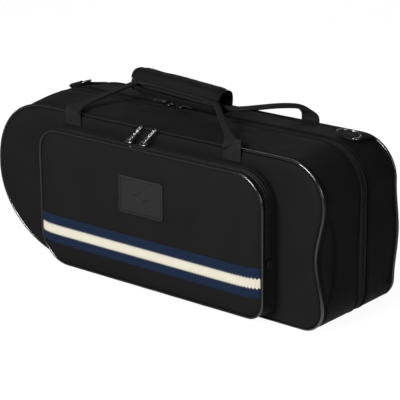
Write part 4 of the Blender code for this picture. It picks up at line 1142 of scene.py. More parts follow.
@dataclass
class MainZipper:
    """The long zip: two tapes with their teeth, and the cloth hinge along the bottom."""

    half_width: float = 0.0080
    tape: float = 0.0010
    recess: float = 0.0013
    coil_width: float = 0.0026
    coil_rise: float = 0.0012
    split: float = 0.0005
    end_margin: float = 0.0003

    def turns(self) -> tuple[float, float]:
        """The zip's first and last turn, low on the right end and low on the bell end."""
        first = CASE_RIM.turn_of(SHAPE.length, SHAPE.bottom_corner)
        low = arc((SHAPE.lower_reach, SHAPE.bell_height), (SHAPE.lower_reach, SHAPE.bell_height), 240, 240, 1)
        return first, 1 + CASE_RIM.turn_of(*low[0])

    def build(self) -> None:
        """Makes the tapes, the teeth, the stitching beside them and the hinge."""
        first, last = self.turns()
        for name, body, toward in (("front", Body.LID, -1), ("rear", Body.BASE, 1)):
            tape = self.strip(first, last, toward)
            settle(f"zip_tape_{name}", tape, TAPE, body, [f"main_zipper_{name}"])
            settle(f"zip_teeth_{name}", self.teeth(first, last, toward), COIL, body)
            settle(f"zip_stitches_{name}", self.stitches(first, last, toward), WEBBING, body)
        self.hinge(last - 1, first)

    def stitches(self, first: float, last: float, toward: int) -> bmesh.types.BMesh:
        """The topstitching of the side wall beside the zip.

        Args:
            first: the turn where it starts.
            last: the turn where it ends.
            toward: which side of the zip it is on, -1 or 1.

        Returns:
            The mesh.
        """
        depth = SHAPE.front_depth + toward * (self.half_width + HEM_WIDTH)
        half_depth = SHAPE.front_depth if toward < 0 else SHAPE.depth - SHAPE.front_depth
        share = rise_of(1 - HEM_WIDTH / (half_depth - SHAPE.seam - self.half_width))
        return hem_stitches(CASE_RIM, first, last, lambda turn: on_wall(turn, depth, -HEM_GROOVE * 0.8, share))

    def strip(self, first: float, last: float, toward: int) -> bmesh.types.BMesh:
        """One tape, a thin flat band.

        Args:
            first: the turn where it starts.
            last: the turn where it ends.
            toward: which side of the zip it is on, -1 or 1.

        Returns:
            The mesh.
        """
        top = -self.recess
        near, far = self.split, self.half_width - self.end_margin
        section = [(near, top - 0.0018), (far, top - 0.0018), (far, top - 0.0008), (far * 0.86, top)]
        section += [(near + 0.0003, top), (near, top - 0.0006), section[0]]

        def place(u: float, v: float) -> Vector:
            """A point on the tape's skin."""
            across, proud = section[round(v * (len(section) - 1))]
            return on_wall(between(first, last, u), SHAPE.front_depth + toward * across, proud, 1.0)

        length = (last - first) * CASE_RIM.length
        return close_ends(wrap(420, len(section) - 1, place, (length, 2 * self.half_width)))

    def teeth(self, first: float, last: float, toward: int) -> bmesh.types.BMesh:
        """The coil of one side.

        Args:
            first: the turn where it starts.
            last: the turn where it ends.
            toward: which side of the zip it is on, -1 or 1.

        Returns:
            The mesh.
        """

        def on(u: float, across: float, rise: float) -> Vector:
            """A place on the tape."""
            depth = SHAPE.front_depth + toward * across
            return on_wall(between(first, last, u), depth, rise - self.recess + TAPE_GAP, 1.0)

        shape = (self.coil_width, self.coil_rise, self.split)
        return coil((last - first) * CASE_RIM.length, shape, toward, on)

    def hinge(self, first: float, last: float) -> None:
        """The cloth hinge under the case, in one with both halves.

        Args:
            first: the turn where it starts.
            last: the turn where it ends.
        """
        top = -self.recess
        half = self.half_width - self.end_margin
        flats = [half * (step / 6 - 1) for step in range(13)]
        section = [(across, top) for across in flats] + [(across, top - self.tape) for across in flats[::-1]]
        section.append(section[0])

        def place(u: float, v: float) -> Vector:
            """A point on the hinge's skin."""
            across, proud = section[round(v * (len(section) - 1))]
            return on_wall(between(first, last, u), SHAPE.front_depth + across, proud, 1.0)

        bm = close_ends(wrap(200, len(section) - 1, place, (CASE_RIM.length * (last - first), 4 * half)))
        bend = Fold("base", "lid", *(Vector((0.277, SHAPE.front_depth + side * half, -0.002)) for side in (0.6, -0.6)))
        settle("cloth_hinge", bm, NYLON, bend, ["hinge_web_front", "hinge_web_rear"])


# The front pocket


@dataclass(frozen=True)
class PocketShape:
    """The outline, depth and dome of the front pocket."""

    left: float = 0.1087
    right: float = 0.4853
    bottom: float = 0.0090
    top: float = 0.1935
    depth: float = 0.0300
    taper: float = 0.0030
    corners: tuple[float, ...] = (0.0220, 0.0420, 0.0300, 0.0450)
    piping_radius: float = 0.0018
    fold_height: float = 0.0880
    dome: float = 0.0073
    dome_reach: float = 0.0115
    edge: float = 0.0021
    plateau: float = 0.0043
    zip_back: float = 0.0123
    zip_front: float = 0.0233

    def outline(self, inset: float) -> list[Point]:
        """The pocket's outline at an inset, anticlockwise from its bottom right corner.

        Args:
            inset: how far it lies inside the pocket's edge.

        Returns:
            Its points, X and Z.
        """
        places = ((self.right, self.bottom, -1, 1), (self.right, self.top, -1, -1))
        places += ((self.left, self.top, 1, -1), (self.left, self.bottom, 1, 1))
        points = []
        for number, ((x, z, side, lift), radius) in enumerate(zip(places, self.corners)):
            kept = max(radius - inset, 0.004)
            centre = (x + side * (inset + kept), z + lift * (inset + kept))
            points += arc(centre, (kept, kept), 90 * number - 90, 90 * number, 20)
        return points

    def reach(self, x: float, z: float) -> float:
        """The distance from a place on the face to the pocket's edge, seen from the front.

        Args:
            x: the place along X.
            z: the place along Z.

        Returns:
            The distance.
        """
        middle_x, middle_z = (self.left + self.right) / 2, (self.bottom + self.top) / 2
        radius = self.corners[(0 if x > middle_x else 3) if z < middle_z else (1 if x > middle_x else 2)]
        over_x = abs(x - middle_x) - (self.right - self.left) / 2 + radius
        over_z = abs(z - middle_z) - (self.top - self.bottom) / 2 + radius
        return radius - min(max(over_x, over_z), 0.0) - hypot(max(over_x, 0.0), max(over_z, 0.0))

    def face(self, x: float, z: float) -> float:
        """The depth of the pocket's padded face at a place."""
        reach = max(0.0, self.reach(x, z) - self.edge)
        return -self.depth - self.dome * (1 - exp(-reach / self.dome_reach))

    def flare(self, depth: float) -> float:
        """How far the pocket's side wall stands out at a depth."""
        front = self.depth - self.edge
        return self.taper * (front + depth) / (front - self.plateau)


POCKET = PocketShape()
POCKET_RIM = Rim(POCKET.outline, (POCKET.bottom + POCKET.top) / 2)
FLAP_FOLD = Fold(
    "lid",
    "pocket_flap",
    Vector((0.277, -0.037, POCKET.fold_height - 0.006)),
    Vector((0.277, -0.037, POCKET.fold_height + 0.006)),
)


def on_pocket(turn: float, depth: float, proud: float) -> Vector:
    """A point on or over the pocket's side wall.

    Args:
        turn: the turn round the pocket's rim.
        depth: its place along Y.
        proud: its height over the wall.

    Returns:
        The point.
    """
    x, z, out_x, out_z = POCKET_RIM.at(turn)
    away = proud + POCKET.flare(depth)
    return Vector((x + out_x * away, depth, z + out_z * away))


@dataclass
class FrontPocket:
    """The padded pocket: face, piping, side wall, its own zip and the two tabs at the zip's ends."""

    columns: int = 320
    wall_thickness: float = 0.0016
    back_thickness: float = 0.0012
    tape: float = 0.0010
    recess: float = 0.0010
    coil_width: float = 0.0034
    coil_rise: float = 0.0018
    split: float = 0.0002
    tab: tuple[float, float, float] = (0.0012, 0.0110, 0.0100)
    tab_place: float = 0.0810
    medial_inset: float = 0.0850
    face_reach: float = 0.03
    face_swell: Point = (0.07, 0.0006)

    def build(self) -> None:
        """Makes the pocket's pieces."""
        face = settle("pocket_face", self.face(), NYLON, FLAP_FOLD, ["pocket_flap_panel", "pocket_lower_panel"])
        settle("pocket_welt", self.welt(), VINYL, FLAP_FOLD, ["pocket_flap_piping", "pocket_lower_piping"])
        rim = self.band(POCKET.depth - POCKET.edge, POCKET.zip_front, 0.0, 1.0, hem=POCKET.zip_front)
        settle("pocket_front_strip", rim, NYLON, FLAP_FOLD, ["pocket_flap_gusset"])
        back = self.band(POCKET.zip_back, POCKET.plateau, 0.0, 1.0, hem=POCKET.zip_back)
        settle("pocket_back_strip", back, NYLON, Body.LID, ["pocket_gusset"])
        first, last = self.fold_turns()
        lower = self.band(POCKET.zip_front, POCKET.zip_back, last - 1, first)
        settle("pocket_lower_wall", lower, NYLON, Body.LID)
        middle = (POCKET.zip_front + POCKET.zip_back) / 2
        for name, carrier, edge in (("back", Body.LID, POCKET.zip_back), ("front", Body.FLAP, POCKET.zip_front)):
            toward = 1 if edge > middle else -1
            tape = self.band(middle + toward * 0.0002, edge - toward * 0.0003, first, last, self.tape, self.recess)
            settle(f"pocket_zip_tape_{name}", tape, TAPE, carrier, [f"pocket_zipper_{name}"])
            settle(f"pocket_zip_teeth_{name}", self.teeth(middle, toward, first, last), COIL, carrier)
            stitches = self.stitches(edge + toward * HEM_WIDTH, first, last)
            settle(f"pocket_hem_stitches_{name}", stitches, WEBBING, carrier)
        self.tabs()

    def fold_turns(self) -> tuple[float, float]:
        """The turns at the pocket's fold, on the right and on the left."""
        first = POCKET_RIM.turn_of(POCKET.right, POCKET.fold_height)
        last = POCKET_RIM.turn_of(POCKET.left, POCKET.fold_height)
        return first, last if last > 0.5 else last + 1

    def stitches(self, depth: float, first: float, last: float) -> bmesh.types.BMesh:
        """Topstitching along a hem beside the pocket's zip."""
        return hem_stitches(POCKET_RIM, first, last, lambda turn: on_pocket(turn, -depth, -HEM_GROOVE * 0.8))

    def band(
        self, front: float, back: float, first: float, last: float, thickness: float | None = None,
        sunk: float = 0.0, hem: float | None = None,
    ) -> bmesh.types.BMesh:
        """A strip of the side wall.

        Args:
            front: the distance of one edge from the front seam.
            back: the distance of the other edge.
            first: the first turn.
            last: the last turn.
            thickness: its thickness, or None for the wall's.
            sunk: how deep its face lies under the wall's.
            hem: the distance of its hemmed edge, or None.

        Returns:
            The strip as a closed mesh.
        """
        wall = thickness or self.wall_thickness
        whole = last - first == 1.0
        shares = [step / 18 for step in range(19)]
        section = [(between(front, back, share), 0.0) for share in shares]
        section += [(back, -wall), (front, -wall), (front, 0.0)]

        def place(u: float, v: float) -> Vector:
            """A point on the strip's skin."""
            distance, sink = section[round(v * (len(section) - 1))]
            round_off = 0.0003 if distance in (front, back) and not sink else 0.0
            rolled = 0.0 if hem is None or sink else hem_rise(abs(distance - hem))
            return on_pocket(between(first, last, u), -distance, sink - round_off - sunk + rolled)

        columns = self.columns if whole else max(24, round(self.columns * (last - first)))
        bm = wrap(columns, len(section) - 1, place, (POCKET_RIM.length * (last - first), 0.02))
        return bm if whole else close_ends(bm)

    def teeth(self, middle: float, toward: int, first: float, last: float) -> bmesh.types.BMesh:
        """The coil of one side of the pocket's zip.

        Args:
            middle: the depth of the zip's middle.
            toward: which side of the zip it is on, -1 or 1.
            first: the turn where it starts.
            last: the turn where it ends.

        Returns:
            The mesh.
        """

        def on(u: float, across: float, rise: float) -> Vector:
            """A place on the tape."""
            return on_pocket(between(first, last, u), -middle - toward * across, rise - self.recess + TAPE_GAP)

        shape = (self.coil_width, self.coil_rise, self.split)
        return coil((last - first) * POCKET_RIM.length, shape, toward, on)

    def welt(self) -> bmesh.types.BMesh:
        """The pocket's vinyl piping."""

        def place(u: float, v: float) -> Vector:
            """A point on the piping's skin."""
            x, z, out_x, out_z = POCKET_RIM.at(u)
            angle = 2 * pi * v
            radius = POCKET.piping_radius + ripple(Vector((x, 0.4, z)), 0.017, 0.00015)
            out = radius * cos(angle)
            return Vector((x + out_x * out, -POCKET.depth + radius * sin(angle), z + out_z * out))

        return wrap(self.columns, 14, place, (POCKET_RIM.length, 2 * pi * POCKET.piping_radius))

    def face(self) -> bmesh.types.BMesh:
        """The padded face, domed inside its piping and closed behind."""
        fronts = [(step / 26) ** 1.5 for step in range(27)]

        def edge(turn: float) -> Point:
            """The face's edge at a turn."""
            x, z, out_x, out_z = POCKET_RIM.at(turn)
            return x - out_x * POCKET.edge, z - out_z * POCKET.edge

        def skin(x: float, z: float, _: float, behind: bool) -> float:
            """The depth of a point on the face."""
            if behind:
                return -POCKET.depth + self.back_thickness
            loose = ease((POCKET.reach(x, z) - POCKET.edge) / self.face_reach)
            return POCKET.face(x, z) + ripple(Vector((x, 0.1, z)), *self.face_swell) * loose

        ends = (POCKET.left + self.medial_inset, POCKET.right - self.medial_inset)
        medial = (ends, (POCKET.bottom + POCKET.top) / 2)
        return sheet(self.columns, fronts, [1.0, 0.5, 0.1], medial, edge, skin)

    def tabs(self) -> None:
        """The webbing tabs sewn over the ends of the pocket's zip."""
        wall, length, height = self.tab
        for name, x, side in (("left", POCKET.left, -1), ("right", POCKET.right, 1)):
            inner = x + side * (POCKET.flare(-POCKET.zip_back) + 0.0003)
            middle = Vector((inner + side * wall / 2, -(POCKET.zip_back + POCKET.zip_front) / 2, self.tab_place))
            bm = block((wall, length, height), middle)
            round_off(bm, bm.edges[:], 0.0004, 3)
            lay_cloth(bm, lambda spot: (spot.z, spot.y))
            settle(f"pocket_tab_{name}", bm, WEBBING, Body.LID, [f"pocket_zip_tab_{name}"])


@dataclass
class StripeBand:
    """The striped woven band sewn across the pocket."""

    bottom: float = 0.0385
    width: float = 0.0395
    thickness: float = 0.0008
    gap: float = 0.0003

    def build(self) -> None:
        """Makes the band."""
        settle("striped_band", self.band(), STRIPES, Body.LID, ["stripe_band"])

    def end(self, z: float, side: int) -> float:
        """Where the band meets the pocket's piping at a height, on the left or on the right.

        Args:
            z: the height.
            side: -1 for the left, 1 for the right.

        Returns:
            The place along X.
        """
        edge = POCKET.right if side > 0 else POCKET.left
        radius = POCKET.corners[0 if side > 0 else 3]
        over = max(0.0, POCKET.bottom + radius - z)
        return edge - side * (radius - sqrt(max(0.0, radius**2 - over**2)) + POCKET.edge)

    def band(self) -> bmesh.types.BMesh:
        """The band, which follows the dome of the pocket's face."""
        shares = [0.0, 0.03] + [step / 14 for step in range(1, 14)] + [0.97, 1.0]
        section = [(share, self.thickness * (0.35 if share in (0.0, 1.0) else 1.0)) for share in shares]
        section += [(share, 0.0) for share in shares[::-3]] + [section[0]]

        def place(u: float, v: float) -> Vector:
            """A point on the band's skin."""
            share, rise = section[round(v * (len(section) - 1))]
            z = self.bottom + self.width * share
            x = between(self.end(z, -1), self.end(z, 1), u)
            return Vector((x, POCKET.face(x, z) - self.gap - rise, z))

        bm = close_ends(wrap(150, len(section) - 1, place))
        lay_cloth(bm, lambda spot: (spot.x, spot.z - self.bottom))
        return bm


@dataclass
class BlankPatch:
    """The pressed leather patch, with a raised border and a plain lozenge."""

    left: float = 0.2575
    bottom: float = 0.1085
    length: float = 0.0750
    height: float = 0.0500
    back: float = 0.0376
    thickness: float = 0.0014
    corner: float = 0.0050
    border: float = 0.0030
    press: float = 0.0008

    def build(self) -> None:
        """Makes the patch and its lozenge."""
        settle("leather_badge", self.patch(), LEATHER, Body.FLAP, ["leather_patch"])
        settle("badge_lozenge", self.lozenge(), LEATHER, Body.FLAP)

    def patch(self) -> bmesh.types.BMesh:
        """A round-cornered plate, its face pressed down inside a border."""
        bm = block((self.length, self.thickness, self.height), self.middle(self.thickness / 2))
        upright = [edge for edge in bm.edges if abs(edge.verts[0].co.y - edge.verts[1].co.y) > self.thickness / 2]
        round_off(bm, upright, self.corner, 8)
        front = min(bm.faces, key=lambda face: face.calc_center_median().y)
        round_off(bm, front.edges[:], 0.0004, 3)
        front = max(bm.faces, key=lambda face: face.calc_area() * (face.normal.y < -0.5))
        steps = ((self.border - 0.0004, 0.0), (0.0005, -self.press), (0.0004, 0.0), (0.0004, self.press * 0.5))
        self.press_in(bm, front, steps)
        return bm

    def middle(self, rise: float) -> Vector:
        """The patch's middle at a height over its back."""
        return Vector((self.left + self.length / 2, -self.back - rise, self.bottom + self.height / 2))

    def press_in(self, bm: bmesh.types.BMesh, face: bmesh.types.BMFace, steps: Sequence[Point]) -> None:
        """Insets a face by steps of width and depth."""
        for thickness, depth in steps:
            bmesh.ops.inset_region(bm, faces=[face], thickness=thickness, depth=depth, use_even_offset=True)

    def lozenge(self) -> bmesh.types.BMesh:
        """A plain raised lozenge in the middle."""
        bm = bmesh.new()
        middle = Matrix.Translation(self.middle(self.thickness - 0.0003))
        turn = middle @ Matrix.Diagonal((1.25, 1.0, 0.8, 1.0)) @ Matrix.Rotation(pi / 2, 4, "X")
        bmesh.ops.create_cone(
            bm, cap_ends=True, segments=4, radius1=0.0125, radius2=0.0108, depth=0.0012, matrix=turn
        )
        bm.normal_update()
        face = min(bm.faces, key=lambda face: face.calc_center_median().y)
        self.press_in(bm, face, ((0.0012, 0.0), (0.0009, -0.0008)))
        return bm


# The carrying handle


def steer(points: Sequence[Vector], across: Sequence[Vector]) -> list[tuple[Vector, Vector, Vector]]:
    """Frames along a strap: its middle, its side direction and its face direction.

    Args:
        points: the strap's middle line.
        across: the wanted side direction at each point.

    Returns:
        The frames.
    """
    frames = []
    for index, point in enumerate(points):
        before, after = points[max(index - 1, 0)], points[min(index + 1, len(points) - 1)]
        along = (after - before).normalized()
        side = (across[index] - along * across[index].dot(along)).normalized()
        frames.append((point, side, along.cross(side).normalized()))
    return frames


def run_of(points: Sequence[Vector]) -> float:
    """The length of a line of points."""
    return sum((after - before).length for before, after in zip(points, points[1:]))


@dataclass
class CarryStraps:
    """The two webbing straps of the handle, sewn flat on the covers and folded into the grip."""

    width: float = 0.0285
    thickness: float = 0.0016
    folded_width: float = 0.0092
    folded_thickness: float = 0.0062
    seats: tuple[float, float] = (0.1470, 0.4180)
    seat_drop: float = 0.0150
    grip_ends: tuple[float, float] = (0.1920, 0.3430)
    pitch: float = 3.4
    front_run: tuple[float, float] = (0.0735, 0.2480)
    rear_run: tuple[float, float] = (0.0765, 0.2405)
    front_rise: float = 0.0060
    rear_rise: float = 0.0330
    front_pull: float = 0.25
    rear_pull: float = 0.5
    folded_by: float = 0.40
    front_exit: tuple[float, float, float] = (-0.0085, 0.0064, 0.0010)
    seat_gap: float = 0.0043
    cup: float = 0.0032
    leg_steps: int = 26
    run_steps: int = 16

    def build(self) -> None:
        """Makes the straps and the box stitches of their seats."""
        seat = self.seat_gap + self.thickness / 2
        rows = (
            ("front", Body.LID, -seat, self.front_run, self.front_rise),
            ("rear", Body.BASE, SHAPE.depth + seat, self.rear_run, self.rear_rise),
        )
        for name, body, depth, run, rise in rows:
            settle(f"carry_strap_{name}", self.strap(depth, run, rise), WEBBING, body, [f"{name}_strap"])
            settle(f"strap_stitches_{name}", self.box_stitches(depth), WEBBING, body)

    def rise(self, x: float) -> float:
        """How much higher the pitched grip is at a place along it than at its middle."""
        return (sum(self.grip_ends) / 2 - x) * tan(radians(self.pitch))

    def leg(self, seat: Vector, end: Vector, seat_across: Vector, rise: float) -> list[tuple]:
        """Stations of one leg, from its sewn foot to the grip.

        Args:
            seat: where the strap leaves the cover.
            end: where it enters the grip.
            seat_across: the strap's side direction at the seat.
            rise: how far it goes straight up before it turns to the grip.

        Returns:
            Tuples of place, side direction and folded share.
        """
        foot = Vector((seat.x, seat.y, SHAPE.height - self.seat_drop))
        low = seat.y < SHAPE.depth / 2
        pull = (seat - end) * self.front_pull if low else Vector(((seat.x - end.x) * self.rear_pull, 0, 0))
        pulls = (seat, seat + Vector((0, 0, rise)), end + pull, end)
        stations = [(foot.lerp(seat, step / 4), seat_across, 0.0) for step in range(4)]
        for step in range(self.leg_steps + 1):
            share = step / self.leg_steps
            rest = 1 - share
            weights = (rest**3, 3 * rest**2 * share, 3 * rest * share**2, share**3)
            place = sum((pull * weight for pull, weight in zip(pulls, weights)), Vector())
            turned = ease(share / 0.8) if low else ease(share)
            stations.append((place, seat_across.lerp(Vector((0, -1, 0)), turned), ease(share / self.folded_by)))
        return stations

    def strap(self, depth: float, run: Point, rise: float) -> bmesh.types.BMesh:
        """One strap: leg, folded run through the grip, leg.

        Args:
            depth: the depth of its seats.
            run: the depth and height of its run through the grip.
            rise: how far its legs go straight up first.

        Returns:
            The strap's mesh.
        """
        rim = SHAPE.height + 0.002 + self.thickness
        toward = 1 if depth > run[0] else -1
        legs = []
        for seat_x, end_x, side in zip(self.seats, self.grip_ends, (-1, 1)):
            shift = self.front_exit if toward < 0 else (self.thickness, 0.0, 0.0)
            end = Vector((end_x + side * shift[0], run[0] - shift[1], run[1] - shift[2] + self.rise(end_x)))
            legs.append(self.leg(Vector((seat_x, depth, rim)), end, Vector((side * toward, 0, 0)), rise))
        first, last = legs[0][-1], legs[1][-1]
        middle = []
        for step in range(1, self.run_steps):
            place = first[0].lerp(last[0], step / self.run_steps)
            place.y += (run[0] - first[0].y) * ease(min(step, self.run_steps - step) / 4)
            middle.append((place, Vector((0, -1, 0)), 1.0))
        stations = legs[0] + middle + legs[1][::-1]
        points = [station[0] for station in stations]
        frames = steer(points, [station[1] for station in stations])
        section = both_faces([step / 7 - 1 for step in range(15)])

        def place(u: float, v: float) -> Vector:
            """A point on the strap's skin."""
            index = round(u * (len(frames) - 1))
            middle_point, side, lift = frames[index]
            folded = stations[index][2]
            across, face = section[round(v * (len(section) - 1))]
            half = between(self.width, self.folded_width, folded) / 2
            thick = between(self.thickness, self.folded_thickness, folded) / 2
            cup = sin(pi * min(1.0, folded)) * self.cup * (across**2 - 0.4)
            rounded = sqrt(max(0.0, 1.0 - 0.92 * across**2)) * 1.12
            edge = thick * between(0.55 if abs(across) > 0.99 else 1.0, rounded, folded)
            return middle_point + side * (across * half) + lift * (face * edge + cup)

        return close_ends(wrap(len(frames) - 1, len(section) - 1, place, (run_of(points), 2 * self.width)))

    def box_stitches(self, depth: float) -> bmesh.types.BMesh:
        """Box stitches with a cross, sewn through both feet of a strap.

        Args:
            depth: the strap's place along Y.

        Returns:
            The mesh.
        """
        out = copysign(1.0, depth - SHAPE.depth / 2)
        bm = bmesh.new()
        for seat in self.seats:
            top, low = SHAPE.height - 0.0012, SHAPE.height - self.seat_drop + 0.0018
            half = self.width / 2 - 0.0025
            corners = [(-half, low), (half, low), (half, top), (-half, top), (-half, low), (half, top)]
            face = depth + out * self.thickness / 2
            for start, end in zip(corners, corners[1:]):
                count = max(1, round(hypot(end[0] - start[0], end[1] - start[1]) / THREAD.pitch))
                points = []
                for step in range(count + 1):
                    x, z = (between(start[axis], end[axis], step / count) for axis in (0, 1))
                    points.append(Vector((seat + x, face, z)))
                join(bm, THREAD.row(points, [Vector((0, out, 0))] * len(points)))
        return bm


@dataclass
class Grip:
    """The padded grip: an under pad and a flap that wraps over it and both straps."""

    left: float = 0.1920
    right: float = 0.3430
    depth: float = 0.0765
    height: float = 0.2480
    half_depth: float = 0.0165
    half_height: float = 0.0170
    thickness: float = 0.0048
    pitch: float = 3.4
    lip: float = -166.0
    flap: tuple[float, float] = (18.0, 170.0)
    binding: float = 0.0042
    waist: float = 0.0014
    fullness: float = 2.7
    lip_push: float = 0.0062
    gap: float = 0.0006
    seam_reach: float = 0.0014
    edge_reach: float = 0.002
    swell_reach: float = 0.008
    edge_fullness: float = 0.55
    inner_fullness: float = 0.62
    sinks: tuple[float, float, float] = (0.0012, 0.0010, 0.0006)
    swell: Point = (0.016, 0.0007)
    stitch_sink: float = 0.0019
    stitch_probe: float = 0.0040

    def build(self) -> None:
        """Makes the pad, the flap and the stitches of its binding."""
        gap = degrees(self.gap / self.half_depth)
        under = settle("grip_under_pad", self.shell(self.lip, self.flap[0] - gap), NYLON, Body.BASE, ["grip_pad"])
        over = settle("grip_wrap_flap", self.shell(*self.flap), NYLON, "grip_flap", ["grip_flap"])
        settle("grip_flap_stitches", self.stitches(*self.flap), WEBBING, "grip_flap")

    def turn(self) -> Matrix:
        """The grip's pitch about its middle."""
        middle = Vector(((self.left + self.right) / 2, self.depth, self.height))
        turn = Matrix.Rotation(radians(self.pitch), 4, "Y")
        return Matrix.Translation(middle) @ turn @ Matrix.Translation(-middle)

    def skin(self, along: float, angle: float, sink: float) -> Vector:
        """A point of the grip at a share of its length, an angle of its section and a depth below its skin.

        Args:
            along: the share of its length.
            angle: the angle, in degrees.
            sink: the depth.

        Returns:
            The point.
        """
        draw = self.waist * (2 * along - 1) ** 2
        radii = (self.half_depth - sink - draw * 0.2, self.half_height - sink - draw * 0.2)
        across, up = arc((self.depth, self.height), radii, angle, angle, 1, self.fullness)[0]
        across -= self.lip_push * ease((-100 - angle) / 55) * sqrt(sin(pi * min(1.0, max(0.0, along))))
        return self.turn() @ Vector((between(self.left, self.right, along), across, up))

    def shell(self, start: float, end: float) -> bmesh.types.BMesh:
        """A padded arc, bound round its edges and quilted inside the binding.

        Args:
            start: its first angle.
            end: its last angle.

        Returns:
            The mesh.
        """
        length = self.right - self.left
        arc_length = radians(end - start) * self.half_depth
        ends = [0.0, 0.003, 0.010, 0.022, 0.030, 0.037, 0.048, 0.07]
        alongs = ends + [between(0.07, 0.93, step / 22) for step in range(1, 22)] + [1 - share for share in ends[::-1]]
        outer = [0.0, 0.02, 0.06, 0.11, 0.15, 0.2] + [between(0.2, 0.8, step / 12) for step in range(1, 12)]
        outer += [0.8, 0.85, 0.89, 0.94, 0.98, 1.0]
        section = [(share, 0.0) for share in outer] + [(share, 1.0) for share in outer[::-1]]
        section.append(section[0])

        def place(u: float, v: float) -> Vector:
            """A point on the pad's skin."""
            along = alongs[round(u * (len(alongs) - 1))]
            share, inside = section[round(v * (len(section) - 1))]
            edge = min(along * length, (1 - along) * length, share * arc_length, (1 - share) * arc_length)
            seam = max(0.0, 1 - abs(edge - self.binding) / self.seam_reach)
            full = self.edge_fullness + (1 - self.edge_fullness) * ease(edge / self.edge_reach)
            swell = ease((edge - self.binding) / self.swell_reach)
            if inside:
                sink = self.thickness * between(self.inner_fullness, 1.0, swell * 0.6 + 0.4 * full)
            else:
                sink = sum(sink * part for sink, part in zip(self.sinks, (1 - swell, seam, 1 - full)))
                spot = Vector((along * length, share * arc_length, 0.2))
                sink -= ripple(spot, *self.swell) * swell
            return self.skin(along, between(start, end, share), sink)

        return close_ends(wrap(len(alongs) - 1, len(section) - 1, place, (length, 2 * arc_length)))

    def stitches(self, start: float, end: float) -> bmesh.types.BMesh:
        """The stitches that hold the flap's binding.

        Args:
            start: the flap's first angle.
            end: its last angle.

        Returns:
            The mesh.
        """
        length = self.right - self.left
        inset = self.binding / length
        turn_inset = degrees(self.binding / self.half_depth)
        corners = [(inset, start + turn_inset), (1 - inset, start + turn_inset)]
        corners += [(1 - inset, end - turn_inset), (inset, end - turn_inset), corners[0]]
        bm = bmesh.new()
        for first, last in zip(corners, corners[1:]):
            long = (self.skin(*last, 0.0) - self.skin(*first, 0.0)).length * (1.2 if first[0] == last[0] else 1.0)
            count = round(long / THREAD.pitch)
            shares = [step / count for step in range(count + 1)]
            spots = [tuple(between(first[axis], last[axis], share) for axis in (0, 1)) for share in shares]
            points = [self.skin(*spot, self.stitch_sink) for spot in spots]
            normals = [self.skin(*spot, 0.0) - self.skin(*spot, self.stitch_probe) for spot in spots]
            join(bm, THREAD.row(points, normals))
        return bm


